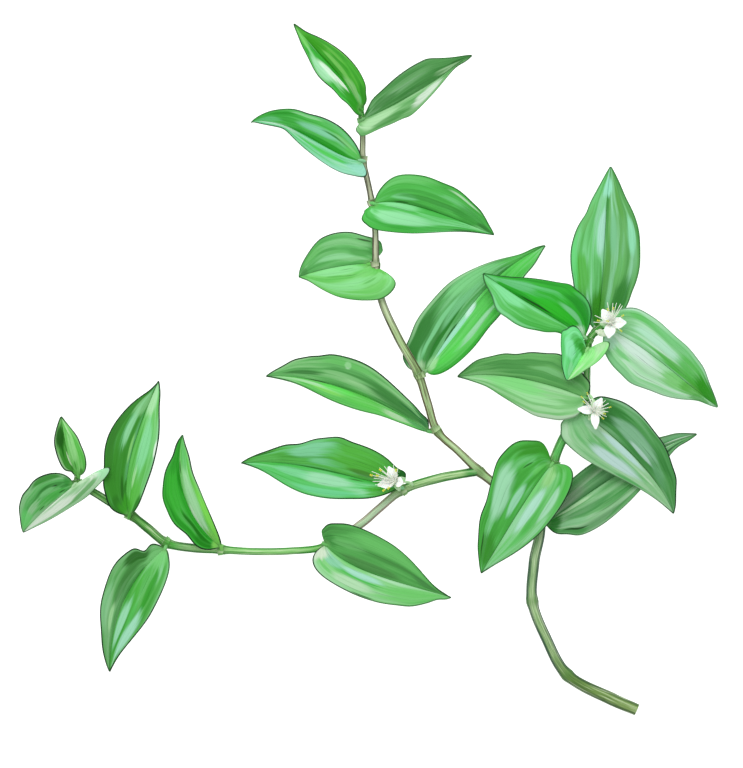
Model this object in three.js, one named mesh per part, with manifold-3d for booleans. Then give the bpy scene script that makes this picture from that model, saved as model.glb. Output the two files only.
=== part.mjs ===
// A cut sprig of small-leaf spiderwort (Tradescantia), lying on a flat surface.
// One jointed stem branches into three leafy shoots: top, left and right. Every leaf clasps
// the stem with a short open sheath, and three small three-petalled flowers sit at the shoots' joints.
// Millimetres, +Z up. The surface is z = 0 and the origin is under the middle of the sprig.

import * as THREE from 'three';
import { mergeVertices } from 'three/addons/utils/BufferGeometryUtils.js';
import Module from 'manifold-3d';

const wasm = await Module();
wasm.setup();

// ---------------------------------------------------------------- driving dimensions, mm

const BLADE_THICKNESS = 0.7;
const CLEARANCE = 0.3; // between a piece and what it hugs
const LEAF_ROWS = 11; // steps from base to tip
const LEAF_VEINS_PER_HALF = 2;
const ROOT_RADIUS = 0.5; // the veins start on a circle of this radius round the leaf's base
const TIP_WIDTH = 0.5;
const BLADE_CROWN = 0.6; // each half of a blade is gently rounded by this much
const POINT_DRAW = 0.28; // the veins close in on the midrib by this share in a blade's drawn-out point
const POINT_FROM = 0.6; // where that starts and is complete, as shares of the way to the tip
const POINT_FULL = 0.95;

const SHEATH_WALL = 0.6;
const SHEATH_LENGTH = 2.0;
const SHEATH_ARC = THREE.MathUtils.degToRad(230);
const SHEATH_STEPS = 6;
const SHEATH_EASE = 0.05; // keeps the sheath's flat facets off the clearance round the stem
const LEAF_BOSS_RADIUS = 1.1; // thickening where the blade leaves its sheath

const SURFACE_SIZE = 400; // nothing reaches below the surface that the sprig lies on

const STEM_SIDES = 8;
const STEM_STEP = 7;
const NODE_SWELL = 0.38; // extra radius at a joint of the stem
const NODE_SPREAD = 1.6; // half length of that swelling
const NODE_RING_OFFSETS = [-2.6, -1.0, 1.0, 2.6];
const STEM_END_MARGIN = 0.5; // no ring closer to the end of a stretch than this

const PETAL_THICKNESS = 0.6;
const PETAL_ARCH = 0.4; // rise of a petal's middle above the line from heart to tip
const PETAL_HALF_WIDTH = 2.5;
const PETAL_ROWS = 4;
const SEPAL_ROWS = 3;
const STALK_RADIUS = 0.5;
const STALK_SIDES = 6;
const FILAMENT_RADIUS = 0.32;
const ANTHER_RADIUS = 0.6;
const PETAL_RING_RADIUS = 1.1; // joins the three petals
const PETAL_RING_SQUASH = 0.6;
const STAMEN_HUB_RADIUS = 0.75;
const STAMEN_HUB_HEIGHT = 1.6; // above the flower's heart
const CUP_RADIUS = 0.9; // joins the three sepals to the stalk
const CUP_DEPTH = 1.5; // below the flower's heart
const SEPAL_LENGTH = 3.6;
const SEPAL_HALF_WIDTH = 1.1;
const SEPAL_DROP = -0.4;

// ---------------------------------------------------------------- the stem
// Each stretch is a list of points [x, y, z, radius]. A point with a fifth entry is a joint.

const JOINT = true;

const STEMS = {
  main: [
    [88.3, -112.5, 1.75, 1.95],
    [80.0, -108.9, 1.9, 2.15],
    [65.3, -100.9, 1.9, 1.85, JOINT],
    [58.4, -88.9, 1.7, 1.75],
    [53.8, -76.6, 1.85, 1.75, JOINT],
    [54.4, -64.0, 1.8, 1.8],
    [56.1, -51.0, 1.95, 1.7, JOINT],
    [49.2, -43.6, 2.05, 1.55],
    [40.3, -37.1, 2.35, 1.5],
    [36.3, -33.8, 2.6, 1.5, JOINT],
    [29.5, -27.3, 3.0, 1.3],
    [22.4, -20.5, 3.5, 1.3, JOINT],
    [19.3, -11.4, 4.0, 1.4],
    [16.2, -1.8, 4.6, 1.4, JOINT],
    [9.5, 10.4, 5.1, 1.4],
    [4.0, 22.9, 5.5, 1.25],
    [2.3, 34.5, 5.9, 1.1, JOINT],
    [2.0, 46.0, 6.3, 1.05],
    [1.0, 54.3, 6.6, 1.0, JOINT],
    [-1.0, 63.9, 7.0, 1.0],
    [-2.0, 68.1, 7.3, 1.0, JOINT],
    [-2.1, 76.7, 7.8, 0.97],
    [-2.4, 82.0, 8.1, 0.9, JOINT],
    [-2.7, 86.4, 8.4, 0.8],
  ],
  left: [
    [36.3, -33.8, 2.6, 1.5],
    [29.9, -34.8, 3.0, 1.5],
    [23.1, -36.1, 3.3, 1.55],
    [10.9, -40.1, 3.6, 1.4, JOINT],
    [3.0, -46.4, 3.5, 1.38],
    [-2.1, -50.8, 3.5, 1.4],
    [-14.2, -58.5, 3.5, 1.2, JOINT],
    [-26.1, -60.1, 3.1, 1.2],
    [-37.6, -60.3, 2.9, 1.2],
    [-48.5, -59.7, 3.0, 1.3, JOINT],
    [-57.4, -59.2, 3.3, 1.45],
    [-66.7, -57.4, 3.8, 1.45, JOINT],
    [-72.7, -52.7, 4.3, 1.6],
    [-78.3, -48.3, 4.8, 1.35, JOINT],
    [-85.0, -44.2, 5.4, 1.35],
    [-90.6, -40.7, 5.9, 1.3],
    [-95.8, -37.9, 6.4, 1.05, JOINT],
    [-95.9, -34.6, 7.1, 0.85],
  ],
  right: [
    [56.1, -51.0, 1.95, 1.6],
    [57.7, -45.8, 2.9, 1.6],
    [58.9, -40.0, 4.4, 1.6],
    [60.6, -31.2, 6.2, 1.6, JOINT],
    [63.9, -22.9, 8.0, 1.55],
    [70.6, -12.6, 10.0, 1.35, JOINT],
    [71.5, -2.1, 11.2, 1.2],
    [71.6, 6.4, 11.9, 1.1, JOINT],
    [72.4, 9.6, 12.2, 1.3],
    [74.2, 12.0, 12.5, 1.2],
    [77.6, 14.7, 12.9, 0.95],
  ],
};

// ---------------------------------------------------------------- the leaves
// A blade is a fan of veins. Each vein is a cubic curve from the leaf's base to its tip, and its two
// handles lie on straight lines from the midrib's handles to a margin's. Base and tip are [x, y, z].
// A midrib handle is [share of the length, mm to the left, height z]. A margin handle is
// [share of the length, mm to the left, rise above the midrib's handle]; a share below 0 makes a lobe
// that reaches back past the stem. A base only names the side of the stem that its leaf sits on:
// the leaf starts just outside the stem there.

const LEAVES = [
  {
    name: 'leaf_top_1', base: [-2.7, 85.4, 9.4], tip: [-24.8, 113.7, 0.3],
    midrib: [[0.33, -3.0, 11.4], [0.66, 0.5, 6.5]],
    left: [[0.3, 5.5, 4.0], [0.65, 5.8, 6.0]],
    right: [[0.0, -9.8, 3.0], [0.65, -8.7, 3.0]],
  },
  {
    name: 'leaf_top_2', base: [-2.3, 81.6, 9.2], tip: [33.9, 103.3, 1.0],
    midrib: [[0.3, -2.0, 11.4], [0.66, -1.5, 8.0]],
    left: [[0.15, 5.2, 3.0], [0.7, 12.0, 3.0]],
    right: [[-0.38, -8.0, 3.0], [0.52, -9.4, 4.0]],
  },
  {
    name: 'leaf_top_3', base: [-2.3, 68.5, 8.6], tip: [-38.9, 81.3, 0.3],
    midrib: [[0.25, 3.0, 10.4], [0.66, -6.5, 7.5]],
    left: [[-0.22, 15.5, 3.0], [0.45, -0.8, 3.0]],
    right: [[0.12, -10.8, 2.5], [0.85, -14.0, 3.0]],
  },
  {
    name: 'leaf_top_4', base: [1.3, 54.3, 8.0], tip: [41.2, 44.2, 0.3],
    midrib: [[0.25, 5.0, 10.4], [0.66, 1.5, 7.0]],
    left: [[0.0, 18.0, 3.0], [0.78, 16.6, 3.5]],
    right: [[-0.27, -17.6, 3.0], [0.5, -3.6, 2.5]],
  },
  {
    name: 'leaf_top_5', base: [0.2, 34.3, 5.8], tip: [-23.2, 30.2, 0.6],
    midrib: [[0.2, -1.2, 6.4], [0.66, -1.5, 5.0]],
    left: [[-1.0, 14.6, 6.0], [0.58, 16.2, 3.0]],
    right: [[-0.82, -10.5, -5.0], [0.9, -21.0, 2.0]],
  },
  {
    name: 'leaf_top_6', base: [17.3, -1.9, 4.6], tip: [58.1, 40.6, 0.3],
    midrib: [[0.3, 3.0, 5.9], [0.66, 8.0, 4.5]],
    left: [[-0.17, 20.5, -2.0], [0.74, 17.5, 1.5]],
    right: [[0.0, -9.5, 3.0], [0.6, -6.5, 2.5]],
  },
  {
    name: 'leaf_top_7', base: [20.8, -20.4, 4.0], tip: [-34.0, -2.5, 0.6],
    midrib: [[0.33, -4.5, 7.4], [0.66, -7.0, 6.0]],
    left: [[0.05, 1.2, 4.0], [0.72, 1.2, 4.0]],
    right: [[0.22, -13.8, 2.0], [0.82, -23.5, 3.0]],
  },
  {
    name: 'leaf_left_1', base: [10.6, -39.3, 5.4], tip: [-42.2, -31.2, 0.6],
    midrib: [[0.3, 0.0, 7.9], [0.66, -5.0, 6.0]],
    left: [[0.2, 9.2, 3.0], [0.65, 9.9, 3.0]],
    right: [[0.02, -16.5, 2.5], [0.78, -16.8, 3.0]],
  },
  {
    name: 'leaf_left_2', base: [-14.4, -58.0, 5.4], tip: [27.1, -75.5, 0.3],
    midrib: [[0.25, -5.5, 7.4], [0.66, -1.5, 6.0]],
    left: [[-0.27, 14.5, 3.0], [0.65, 10.8, 3.0]],
    right: [[-0.27, -16.2, 2.5], [0.83, -14.4, 3.0]],
  },
  {
    name: 'leaf_left_3', base: [-48.7, -58.9, 4.9], tip: [-61.6, -21.9, 0.3],
    midrib: [[0.3, 7.5, 7.4], [0.66, 8.0, 6.0]],
    left: [[-0.02, 17.6, 2.5], [0.85, 16.2, 3.0]],
    right: [[0.1, -2.0, 5.0], [0.6, 2.0, 5.0]],
  },
  {
    name: 'leaf_left_4', base: [-67.0, -58.6, 5.2], tip: [-85.6, -100.0, 0.3],
    midrib: [[0.3, -7.0, 7.4], [0.66, -7.0, 5.0]],
    left: [[0.0, 7.2, 3.0], [0.6, 5.8, 3.0]],
    right: [[-0.06, -16.8, 3.0], [0.75, -17.0, 3.0]],
  },
  {
    name: 'leaf_left_5', base: [-78.9, -48.2, 6.4], tip: [-69.5, -4.1, 0.3],
    midrib: [[0.3, 6.5, 8.4], [0.66, 2.5, 6.0]],
    left: [[-0.05, 18.2, 0.5], [0.77, 16.3, 3.0]],
    right: [[0.1, -5.4, 3.0], [0.75, -6.4, 3.0]],
  },
  {
    name: 'leaf_left_6', base: [-96.7, -38.1, 8.0], tip: [-114.2, -54.0, 0.3],
    midrib: [[0.2, 0.0, 9.4], [0.66, -1.0, 5.0]],
    left: [[-1.35, 5.0, 5.0], [0.2, 9.0, 3.0]],
    right: [[-0.15, -10.2, 3.0], [0.8, -16.6, 3.5]],
  },
  {
    name: 'leaf_left_7', base: [-95.6, -35.2, 8.4], tip: [-101.2, -15.8, 9.0],
    midrib: [[0.33, 2.5, 11.4], [0.66, 0.5, 12.0]],
    left: [[0.05, 6.2, 2.0], [0.75, 7.0, 2.0]],
    right: [[0.0, -6.3, 2.5], [0.7, -4.9, 2.0]],
  },
  {
    name: 'leaf_right_1', base: [60.2, -31.4, 8.3], tip: [37.0, -67.5, 0.3],
    midrib: [[0.2, -1.5, 9.9], [0.66, -0.5, 6.5]],
    left: [[-0.3, 15.0, 3.0], [0.75, 11.2, 3.0]],
    right: [[-0.36, -21.5, 2.0], [0.62, -21.2, 3.0]],
  },
  {
    name: 'leaf_right_2', base: [57.6, -50.9, 3.6], tip: [108.1, -21.6, 0.6],
    midrib: [[0.33, 1.0, 4.2], [0.66, 4.0, 3.4]],
    left: [[0.15, 11.5, 1.0], [0.7, 13.2, 1.5]],
    right: [[0.03, -17.8, 0.5], [0.5, -7.2, 2.0]],
  },
  {
    name: 'leaf_right_3', base: [70.2, -14.4, 11.8], tip: [100.5, -47.8, 0.3],
    midrib: [[0.2, 1.5, 12.6], [0.66, 5.5, 8.5]],
    left: [[-0.2, 18.0, 1.0], [0.85, 18.3, 3.0]],
    right: [[-0.26, -21.8, 0.0], [0.45, -5.2, 2.5]],
  },
  {
    name: 'leaf_right_4', base: [70.9, -9.8, 13.1], tip: [29.2, -2.6, 0.3],
    midrib: [[0.3, -3.0, 14.6], [0.66, -4.5, 9.0]],
    left: [[0.0, 17.4, 3.0], [0.6, 3.4, 3.0]],
    right: [[-0.18, -16.6, 0.0], [0.88, -15.8, 3.0]],
  },
  {
    name: 'leaf_right_5', base: [71.3, 6.0, 14.0], tip: [64.8, -4.0, 15.6],
    midrib: [[0.2, 0.0, 16.0], [0.66, 0.0, 16.2]],
    left: [[-1.4, 8.5, 4.5], [0.5, 6.5, 2.0]],
    right: [[-1.15, -14.0, 3.0], [0.7, -10.5, 2.0]],
  },
  {
    name: 'leaf_right_6', base: [71.2, 9.9, 13.0], tip: [37.5, 31.2, 8.0],
    midrib: [[0.33, 0.0, 14.0], [0.66, 0.8, 11.5]],
    left: [[0.25, 7.5, 2.0], [0.9, 15.3, 2.0]],
    right: [[0.05, -21.0, -1.0], [0.6, -9.0, 1.5]],
  },
  {
    name: 'leaf_right_7', base: [74.5, 12.2, 10.6], tip: [79.7, 66.6, 0.3],
    midrib: [[0.33, -1.5, 11.9], [0.66, 1.0, 8.5]],
    left: [[0.22, 14.4, 1.5], [0.63, 13.6, 2.5]],
    right: [[0.12, -17.2, 0.5], [0.78, -14.8, 2.5]],
  },
  {
    name: 'leaf_right_8', base: [77.6, 13.2, 15.1], tip: [115.0, -12.7, 0.3],
    midrib: [[0.3, 3.0, 16.8], [0.66, 0.0, 11.0]],
    left: [[-0.15, 18.0, 2.0], [0.8, 13.6, 3.0]],
    right: [[0.1, -16.6, 0.5], [0.7, -8.6, 3.0]],
  },
];

// ---------------------------------------------------------------- the flowers
// foot is where the stalk leaves the stem, elbow is its bend, heart is the middle of the bloom.
// petals are the three petal tips, measured from the heart: [dx, dy, dz].

const FLOWERS = [
  {
    name: 'flower_left',
    foot: [13.8, -39.0, 3.5],
    elbow: [13.6, -37.6, 7.0],
    heart: [8.6, -37.0, 9.6],
    petals: [[-2.2, 4.8, 0.9], [-5.8, -1.4, 0.6], [2.6, -0.6, 3.0]],
    anthers: [
      [-7.9, 2.0, 1.8], [-5.9, 1.8, 2.6], [-4.9, 3.7, 2.2],
      [0.2, 3.6, 2.8], [-3.8, -3.0, 2.0], [-2.2, -2.3, 2.6],
    ],
  },
  {
    name: 'flower_top_right',
    foot: [77.5, 14.6, 12.9],
    elbow: [78.4, 15.6, 16.0],
    heart: [79.1, 14.8, 18.6],
    petals: [[-2.7, 4.7, 1.0], [5.7, 0.4, 0.8], [0.0, -4.7, 0.8]],
    anthers: [
      [-1.1, 4.4, 2.2], [0.7, 4.8, 2.4], [3.8, 2.4, 2.4],
      [-4.2, 0.8, 2.0], [-1.2, 0.6, 3.0], [3.2, -2.5, 2.2],
    ],
  },
  {
    name: 'flower_right',
    foot: [71.4, -9.0, 10.4],
    elbow: [73.0, -9.6, 14.2],
    heart: [73.8, -13.8, 16.6],
    petals: [[-5.5, 0.5, 0.8], [2.4, 4.1, 1.0], [0.4, -6.1, 0.6]],
    anthers: [
      [-3.5, 2.8, 2.2], [3.2, -1.0, 2.6], [-4.2, 4.4, 2.0],
      [5.0, 1.1, 2.0], [2.7, -2.5, 2.2], [-2.4, 5.6, 2.2],
    ],
  },
];

const BUD = {
  name: 'bud_right',
  foot: [74.4, 12.0, 12.7],
  elbow: [74.8, 12.6, 15.6],
  tip: [78.2, 10.4, 17.0],
  radius: 1.2,
};

// ---------------------------------------------------------------- solids and booleans

/** A closed THREE geometry, placed by a matrix, as a manifold solid. */
function toSolid(geometry, matrix = new THREE.Matrix4()) {
  let plain = geometry.clone().applyMatrix4(matrix);
  plain.deleteAttribute('normal');
  plain.deleteAttribute('uv');
  plain = mergeVertices(plain, 1e-4);
  const mesh = new wasm.Mesh({
    numProp: 3,
    vertProperties: new Float32Array(plain.attributes.position.array),
    triVerts: new Uint32Array(plain.index.array),
  });
  return new wasm.Manifold(mesh);
}

/** A manifold solid as a THREE geometry. */
function toGeometry(solid) {
  const mesh = solid.getMesh();
  const geometry = new THREE.BufferGeometry();
  geometry.setAttribute('position', new THREE.BufferAttribute(new Float32Array(mesh.vertProperties), 3));
  geometry.setIndex(new THREE.BufferAttribute(new Uint32Array(mesh.triVerts), 1));
  geometry.computeVertexNormals();
  return geometry;
}

/** The largest connected piece of a solid. */
function largestPiece(solid) {
  const pieces = solid.decompose();
  return pieces.reduce((best, piece) => (piece.volume() > best.volume() ? piece : best));
}

/** A closed body from rings of equal length: side walls between rings and a fan over each end. */
function loftRings(rings) {
  const sides = rings[0].length;
  const points = rings.flat();
  const faces = [];
  for (let ring = 0; ring < rings.length - 1; ring += 1) {
    for (let side = 0; side < sides; side += 1) {
      const next = (side + 1) % sides;
      const a = ring * sides + side;
      const b = ring * sides + next;
      faces.push([a, b, b + sides], [a, b + sides, a + sides]);
    }
  }
  const last = (rings.length - 1) * sides;
  for (let side = 1; side < sides - 1; side += 1) {
    faces.push([0, side + 1, side], [last, last + side, last + side + 1]);
  }
  return facesToGeometry(points, faces);
}

/** Indexed triangles over a list of points. */
function facesToGeometry(points, faces) {
  const geometry = new THREE.BufferGeometry();
  const coordinates = points.flatMap((point) => point.toArray());
  geometry.setAttribute('position', new THREE.Float32BufferAttribute(coordinates, 3));
  geometry.setIndex(faces.flat());
  return geometry;
}

/** A round rod of varying radius along a list of points, with closed ends. */
function rod(points, radii, sides, steps = points.length * 2 - 2) {
  const through = points.map((point) => new THREE.Vector3(...point));
  const curve = new THREE.CatmullRomCurve3(through, false, 'centripetal');
  const frames = curve.computeFrenetFrames(steps, false);
  const rings = [];
  for (let step = 0; step <= steps; step += 1) {
    const share = step / steps;
    const centre = curve.getPointAt(share);
    const place = share * (radii.length - 1);
    const low = Math.min(Math.floor(place), radii.length - 2);
    const radius = THREE.MathUtils.lerp(radii[low], radii[low + 1], place - low);
    rings.push(ringAround(centre, frames.normals[step], frames.binormals[step], radius, sides));
  }
  return loftRings(rings);
}

/** A small twenty-sided lump, where other pieces of a body meet. */
function lump(centre, radius, squash = 1) {
  const placed = new THREE.Matrix4().makeScale(1, 1, squash).setPosition(centre);
  return toSolid(new THREE.IcosahedronGeometry(radius, 0), placed);
}

/** Points on a circle, in the plane of two unit vectors. */
function ringAround(centre, across, up, radius, sides) {
  return Array.from({ length: sides }, (_, side) => {
    const angle = ((side + 0.5) / sides) * 2 * Math.PI;
    return centre.clone()
      .addScaledVector(across, radius * Math.cos(angle))
      .addScaledVector(up, radius * Math.sin(angle));
  });
}

// ---------------------------------------------------------------- stem

/** A smooth centre line through a stretch's points, with its radius and its joints' places along it. */
function stemLine(points) {
  const through = points.map(([x, y, z]) => new THREE.Vector3(x, y, z));
  const curve = new THREE.CatmullRomCurve3(through, false, 'centripetal');
  const length = curve.getLength();
  const places = points.map((_, index) => placeOfPoint(curve, index / (points.length - 1)) * length);
  const joints = places.filter((_, index) => points[index][4] === JOINT);
  const radiusAt = (place) => {
    let low = 0;
    while (low < places.length - 2 && places[low + 1] < place) low += 1;
    const share = THREE.MathUtils.clamp((place - places[low]) / (places[low + 1] - places[low]), 0, 1);
    const plain = THREE.MathUtils.lerp(points[low][3], points[low + 1][3], share);
    const swell = joints.reduce((sum, joint) => sum + Math.exp(-(((place - joint) / NODE_SPREAD) ** 2)), 0);
    return plain + NODE_SWELL * Math.min(swell, 1);
  };
  return { curve, length, joints, radiusAt };
}

/** The share of a curve's length at which its parameter has a given value. */
function placeOfPoint(curve, parameter) {
  const samples = 400;
  const lengths = curve.getLengths(samples);
  return lengths[Math.round(parameter * samples)] / lengths[samples];
}

/** One stretch of stem: eight-sided, swollen at its joints, flattened where it rests on the surface. */
function stemStretch(line, extraRadius) {
  const places = new Set([0, line.length]);
  for (let place = STEM_STEP; place < line.length - STEM_STEP / 2; place += STEM_STEP) {
    if (line.joints.every((joint) => Math.abs(place - joint) > STEM_STEP / 2)) places.add(place);
  }
  for (const joint of line.joints) {
    for (const offset of NODE_RING_OFFSETS) {
      const place = joint + offset;
      if (place > STEM_END_MARGIN && place < line.length - STEM_END_MARGIN) places.add(place);
    }
  }
  const up = new THREE.Vector3(0, 0, 1);
  const rings = [...places].sort((a, b) => a - b).map((place) => {
    const share = place / line.length;
    const centre = line.curve.getPointAt(share);
    const along = line.curve.getTangentAt(share);
    const across = new THREE.Vector3().crossVectors(up, along).normalize();
    const lift = new THREE.Vector3().crossVectors(along, across);
    const ring = ringAround(centre, across, lift, line.radiusAt(place) + extraRadius, STEM_SIDES);
    if (extraRadius === 0) ring.forEach((point) => { point.z = Math.max(point.z, 0); });
    return ring;
  });
  return toSolid(loftRings(rings));
}

/** All stretches of the stem as one solid. */
function stemSolid(lines, extraRadius) {
  return lines.map((line) => stemStretch(line, extraRadius)).reduce((whole, stretch) => whole.add(stretch));
}

/** The point of the stem nearest a place, with the stem's direction and radius there. */
function nearestOnStem(lines, target) {
  const samples = 600;
  let best = { distance: Infinity };
  for (const line of lines) {
    for (let index = 0; index <= samples; index += 1) {
      const share = index / samples;
      const point = line.curve.getPointAt(share);
      const distance = point.distanceTo(target);
      if (distance < best.distance) {
        const place = share * line.length;
        const held = [-0.5, 0, 0.5].map((offset) => line.radiusAt(place + offset * SHEATH_LENGTH));
        const radius = Math.max(...held);
        best = { distance, point, along: line.curve.getTangentAt(share), radius };
      }
    }
  }
  return best;
}

// ---------------------------------------------------------------- blades

/** A point of the cubic curve with four control points. */
function cubic(a, b, c, d, t) {
  const s = 1 - t;
  return a.clone().multiplyScalar(s * s * s)
    .addScaledVector(b, 3 * s * s * t)
    .addScaledVector(c, 3 * s * t * t)
    .addScaledVector(d, t * t * t);
}

/** A blade's veins as control points in its own frame: x along, y to the left, z up. */
function veinControls(leaf, v) {
  const length = Math.hypot(leaf.tip[0] - leaf.base[0], leaf.tip[1] - leaf.base[1]);
  const margin = v >= 0 ? leaf.left : leaf.right;
  const side = Math.abs(v);
  const handles = [0, 1].map((index) => {
    const [share, left, height] = leaf.midrib[index];
    const [marginShare, marginLeft, rise] = margin[index];
    const mid = new THREE.Vector3(share * length, left, height);
    const edge = new THREE.Vector3(marginShare * length, marginLeft, height + rise);
    return mid.lerp(edge, side);
  });
  const heading = Math.hypot(handles[0].x, handles[0].y);
  const start = new THREE.Vector3(
    (handles[0].x / heading) * ROOT_RADIUS,
    (handles[0].y / heading) * ROOT_RADIUS,
    leaf.base[2],
  );
  const end = new THREE.Vector3(length, (v * TIP_WIDTH) / 2, leaf.tip[2]);
  return [start, handles[0], handles[1], end];
}

/** The middle surface of a blade as rows of points, from its base to its tip. */
function bladeGrid(leaf, rows, veinsPerHalf, crown) {
  const heading = Math.atan2(leaf.tip[1] - leaf.base[1], leaf.tip[0] - leaf.base[0]);
  const grid = [];
  for (let row = 0; row <= rows; row += 1) {
    const t = row / rows;
    const rib = cubic(...veinControls(leaf, 0), t);
    const draw = POINT_DRAW * THREE.MathUtils.smoothstep(t, POINT_FROM, POINT_FULL);
    const line = [];
    for (let vein = -veinsPerHalf; vein <= veinsPerHalf; vein += 1) {
      const v = vein / veinsPerHalf;
      const point = cubic(...veinControls(leaf, v), t).lerp(rib, draw);
      const side = Math.abs(v);
      point.z += crown * 4 * side * (1 - side) * Math.sin(Math.PI * t);
      point.applyAxisAngle(new THREE.Vector3(0, 0, 1), heading);
      point.x += leaf.base[0];
      point.y += leaf.base[1];
      line.push(point);
    }
    grid.push(line);
  }
  return grid;
}

/** The unit normals of a grid of points, by differences between neighbours. */
function gridNormals(grid) {
  const clampRow = (row) => THREE.MathUtils.clamp(row, 0, grid.length - 1);
  const clampVein = (vein) => THREE.MathUtils.clamp(vein, 0, grid[0].length - 1);
  return grid.map((line, row) => line.map((_, vein) => {
    const along = grid[clampRow(row + 1)][vein].clone().sub(grid[clampRow(row - 1)][vein]);
    const across = grid[row][clampVein(vein + 1)].clone().sub(grid[row][clampVein(vein - 1)]);
    return along.cross(across).normalize();
  }));
}

/** A closed thin solid on both sides of a grid, split into triangles alike on both faces. */
function thicken(grid, thickness) {
  const normals = gridNormals(grid);
  const rows = grid.length;
  const columns = grid[0].length;
  const offset = (sign) => grid.flatMap((line, row) => line.map(
    (point, column) => point.clone().addScaledVector(normals[row][column], (sign * thickness) / 2),
  ));
  const points = [...offset(1), ...offset(-1)];
  const below = rows * columns;
  const at = (row, column) => row * columns + column;
  const faces = [];
  for (let row = 0; row < rows - 1; row += 1) {
    for (let column = 0; column < columns - 1; column += 1) {
      const a = at(row, column);
      const b = at(row + 1, column);
      const c = at(row + 1, column + 1);
      const d = at(row, column + 1);
      faces.push([a, b, c], [a, c, d]);
      faces.push([below + a, below + c, below + b], [below + a, below + d, below + c]);
    }
  }
  const rim = (a, b) => faces.push([a, below + b, b], [a, below + a, below + b]);
  for (let row = 0; row < rows - 1; row += 1) {
    rim(at(row, 0), at(row + 1, 0));
    rim(at(row + 1, columns - 1), at(row, columns - 1));
  }
  for (let column = 0; column < columns - 1; column += 1) {
    rim(at(0, column + 1), at(0, column));
    rim(at(rows - 1, column), at(rows - 1, column + 1));
  }
  return toSolid(facesToGeometry(points, faces));
}

/** The open sheath that hugs the stem where a leaf grows, open on the side away from the blade. */
function sheath(hold, toward) {
  const inner = (hold.radius + CLEARANCE + SHEATH_EASE) / Math.cos(SHEATH_ARC / SHEATH_STEPS / 2);
  const outer = inner + SHEATH_WALL;
  const outline = new THREE.Shape();
  for (let step = 0; step <= SHEATH_STEPS; step += 1) {
    const angle = SHEATH_ARC * (step / SHEATH_STEPS - 0.5);
    const move = step === 0 ? 'moveTo' : 'lineTo';
    outline[move](outer * Math.cos(angle), outer * Math.sin(angle));
  }
  for (let step = SHEATH_STEPS; step >= 0; step -= 1) {
    const angle = SHEATH_ARC * (step / SHEATH_STEPS - 0.5);
    outline.lineTo(inner * Math.cos(angle), inner * Math.sin(angle));
  }
  outline.closePath();
  const geometry = new THREE.ExtrudeGeometry(outline, { depth: SHEATH_LENGTH, bevelEnabled: false });
  geometry.translate(0, 0, -SHEATH_LENGTH / 2);
  const across = toward.clone().addScaledVector(hold.along, -toward.dot(hold.along)).normalize();
  const third = new THREE.Vector3().crossVectors(hold.along, across);
  const frame = new THREE.Matrix4().makeBasis(across, third, hold.along);
  frame.setPosition(hold.point);
  return toSolid(geometry, frame);
}

/** One leaf: its blade, its sheath and the thickening between them, cut clear of stem and stalks. */
function leafSolid(leaf, lines, cutter) {
  const named = new THREE.Vector3(...leaf.base);
  const hold = nearestOnStem(lines, named);
  const toward = named.sub(hold.point).normalize();
  const base = hold.point.clone().addScaledVector(toward, hold.radius + CLEARANCE + SHEATH_WALL);
  const seated = { ...leaf, base: base.toArray() };
  const blade = thicken(bladeGrid(seated, LEAF_ROWS, LEAF_VEINS_PER_HALF, BLADE_CROWN), BLADE_THICKNESS);
  const collar = sheath(hold, toward);
  return largestPiece(blade.add(collar).add(lump(base, LEAF_BOSS_RADIUS)).subtract(cutter));
}

// ---------------------------------------------------------------- flowers

/** One petal or sepal: a small pointed blade from the bloom's heart. */
function petalSolid(heart, reach, halfWidth, rows, veinsPerHalf) {
  const tip = new THREE.Vector3(...reach).add(heart);
  const petal = {
    base: heart.toArray(),
    tip: tip.toArray(),
    midrib: [[0.3, 0, heart.z + PETAL_ARCH], [0.7, 0, tip.z + PETAL_ARCH]],
    left: [[0.25, halfWidth * 1.3, PETAL_ARCH], [0.7, halfWidth, PETAL_ARCH]],
    right: [[0.25, -halfWidth * 1.3, PETAL_ARCH], [0.7, -halfWidth, PETAL_ARCH]],
  };
  return thicken(bladeGrid(petal, rows, veinsPerHalf, 0), PETAL_THICKNESS);
}

/** The three white petals, joined at a small ring. */
function petals(flower) {
  const heart = new THREE.Vector3(...flower.heart);
  return flower.petals.map((reach) => petalSolid(heart, reach, PETAL_HALF_WIDTH, PETAL_ROWS, 2))
    .reduce((a, b) => a.add(b), lump(heart, PETAL_RING_RADIUS, PETAL_RING_SQUASH));
}

/** Six bearded filaments with their anthers, standing on the pistil's foot. */
function stamens(flower) {
  const foot = new THREE.Vector3(...flower.heart).add(new THREE.Vector3(0, 0, STAMEN_HUB_HEIGHT));
  const parts = flower.anthers.map((reach) => {
    const tip = new THREE.Vector3(...flower.heart).add(new THREE.Vector3(...reach));
    const filament = rod([foot.toArray(), tip.toArray()], [FILAMENT_RADIUS, FILAMENT_RADIUS], 3, 1);
    const anther = new THREE.OctahedronGeometry(ANTHER_RADIUS, 0);
    return toSolid(filament).add(toSolid(anther, new THREE.Matrix4().setPosition(tip)));
  });
  return largestPiece(parts.reduce((a, b) => a.add(b), lump(foot, STAMEN_HUB_RADIUS)));
}

/** The green stalk with the three sepals under the petals. */
function stalk(flower) {
  const top = new THREE.Vector3(...flower.heart).add(new THREE.Vector3(0, 0, -CUP_DEPTH));
  const radii = [STALK_RADIUS, STALK_RADIUS, STALK_RADIUS];
  const stem = toSolid(rod([flower.foot, flower.elbow, top.toArray()], radii, STALK_SIDES));
  const sepals = flower.petals.map(([dx, dy]) => {
    const size = SEPAL_LENGTH / Math.hypot(dx, dy);
    return petalSolid(top, [-dx * size, -dy * size, SEPAL_DROP], SEPAL_HALF_WIDTH, SEPAL_ROWS, 1);
  });
  return sepals.reduce((a, b) => a.add(b), stem.add(lump(top, CUP_RADIUS)));
}

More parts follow.
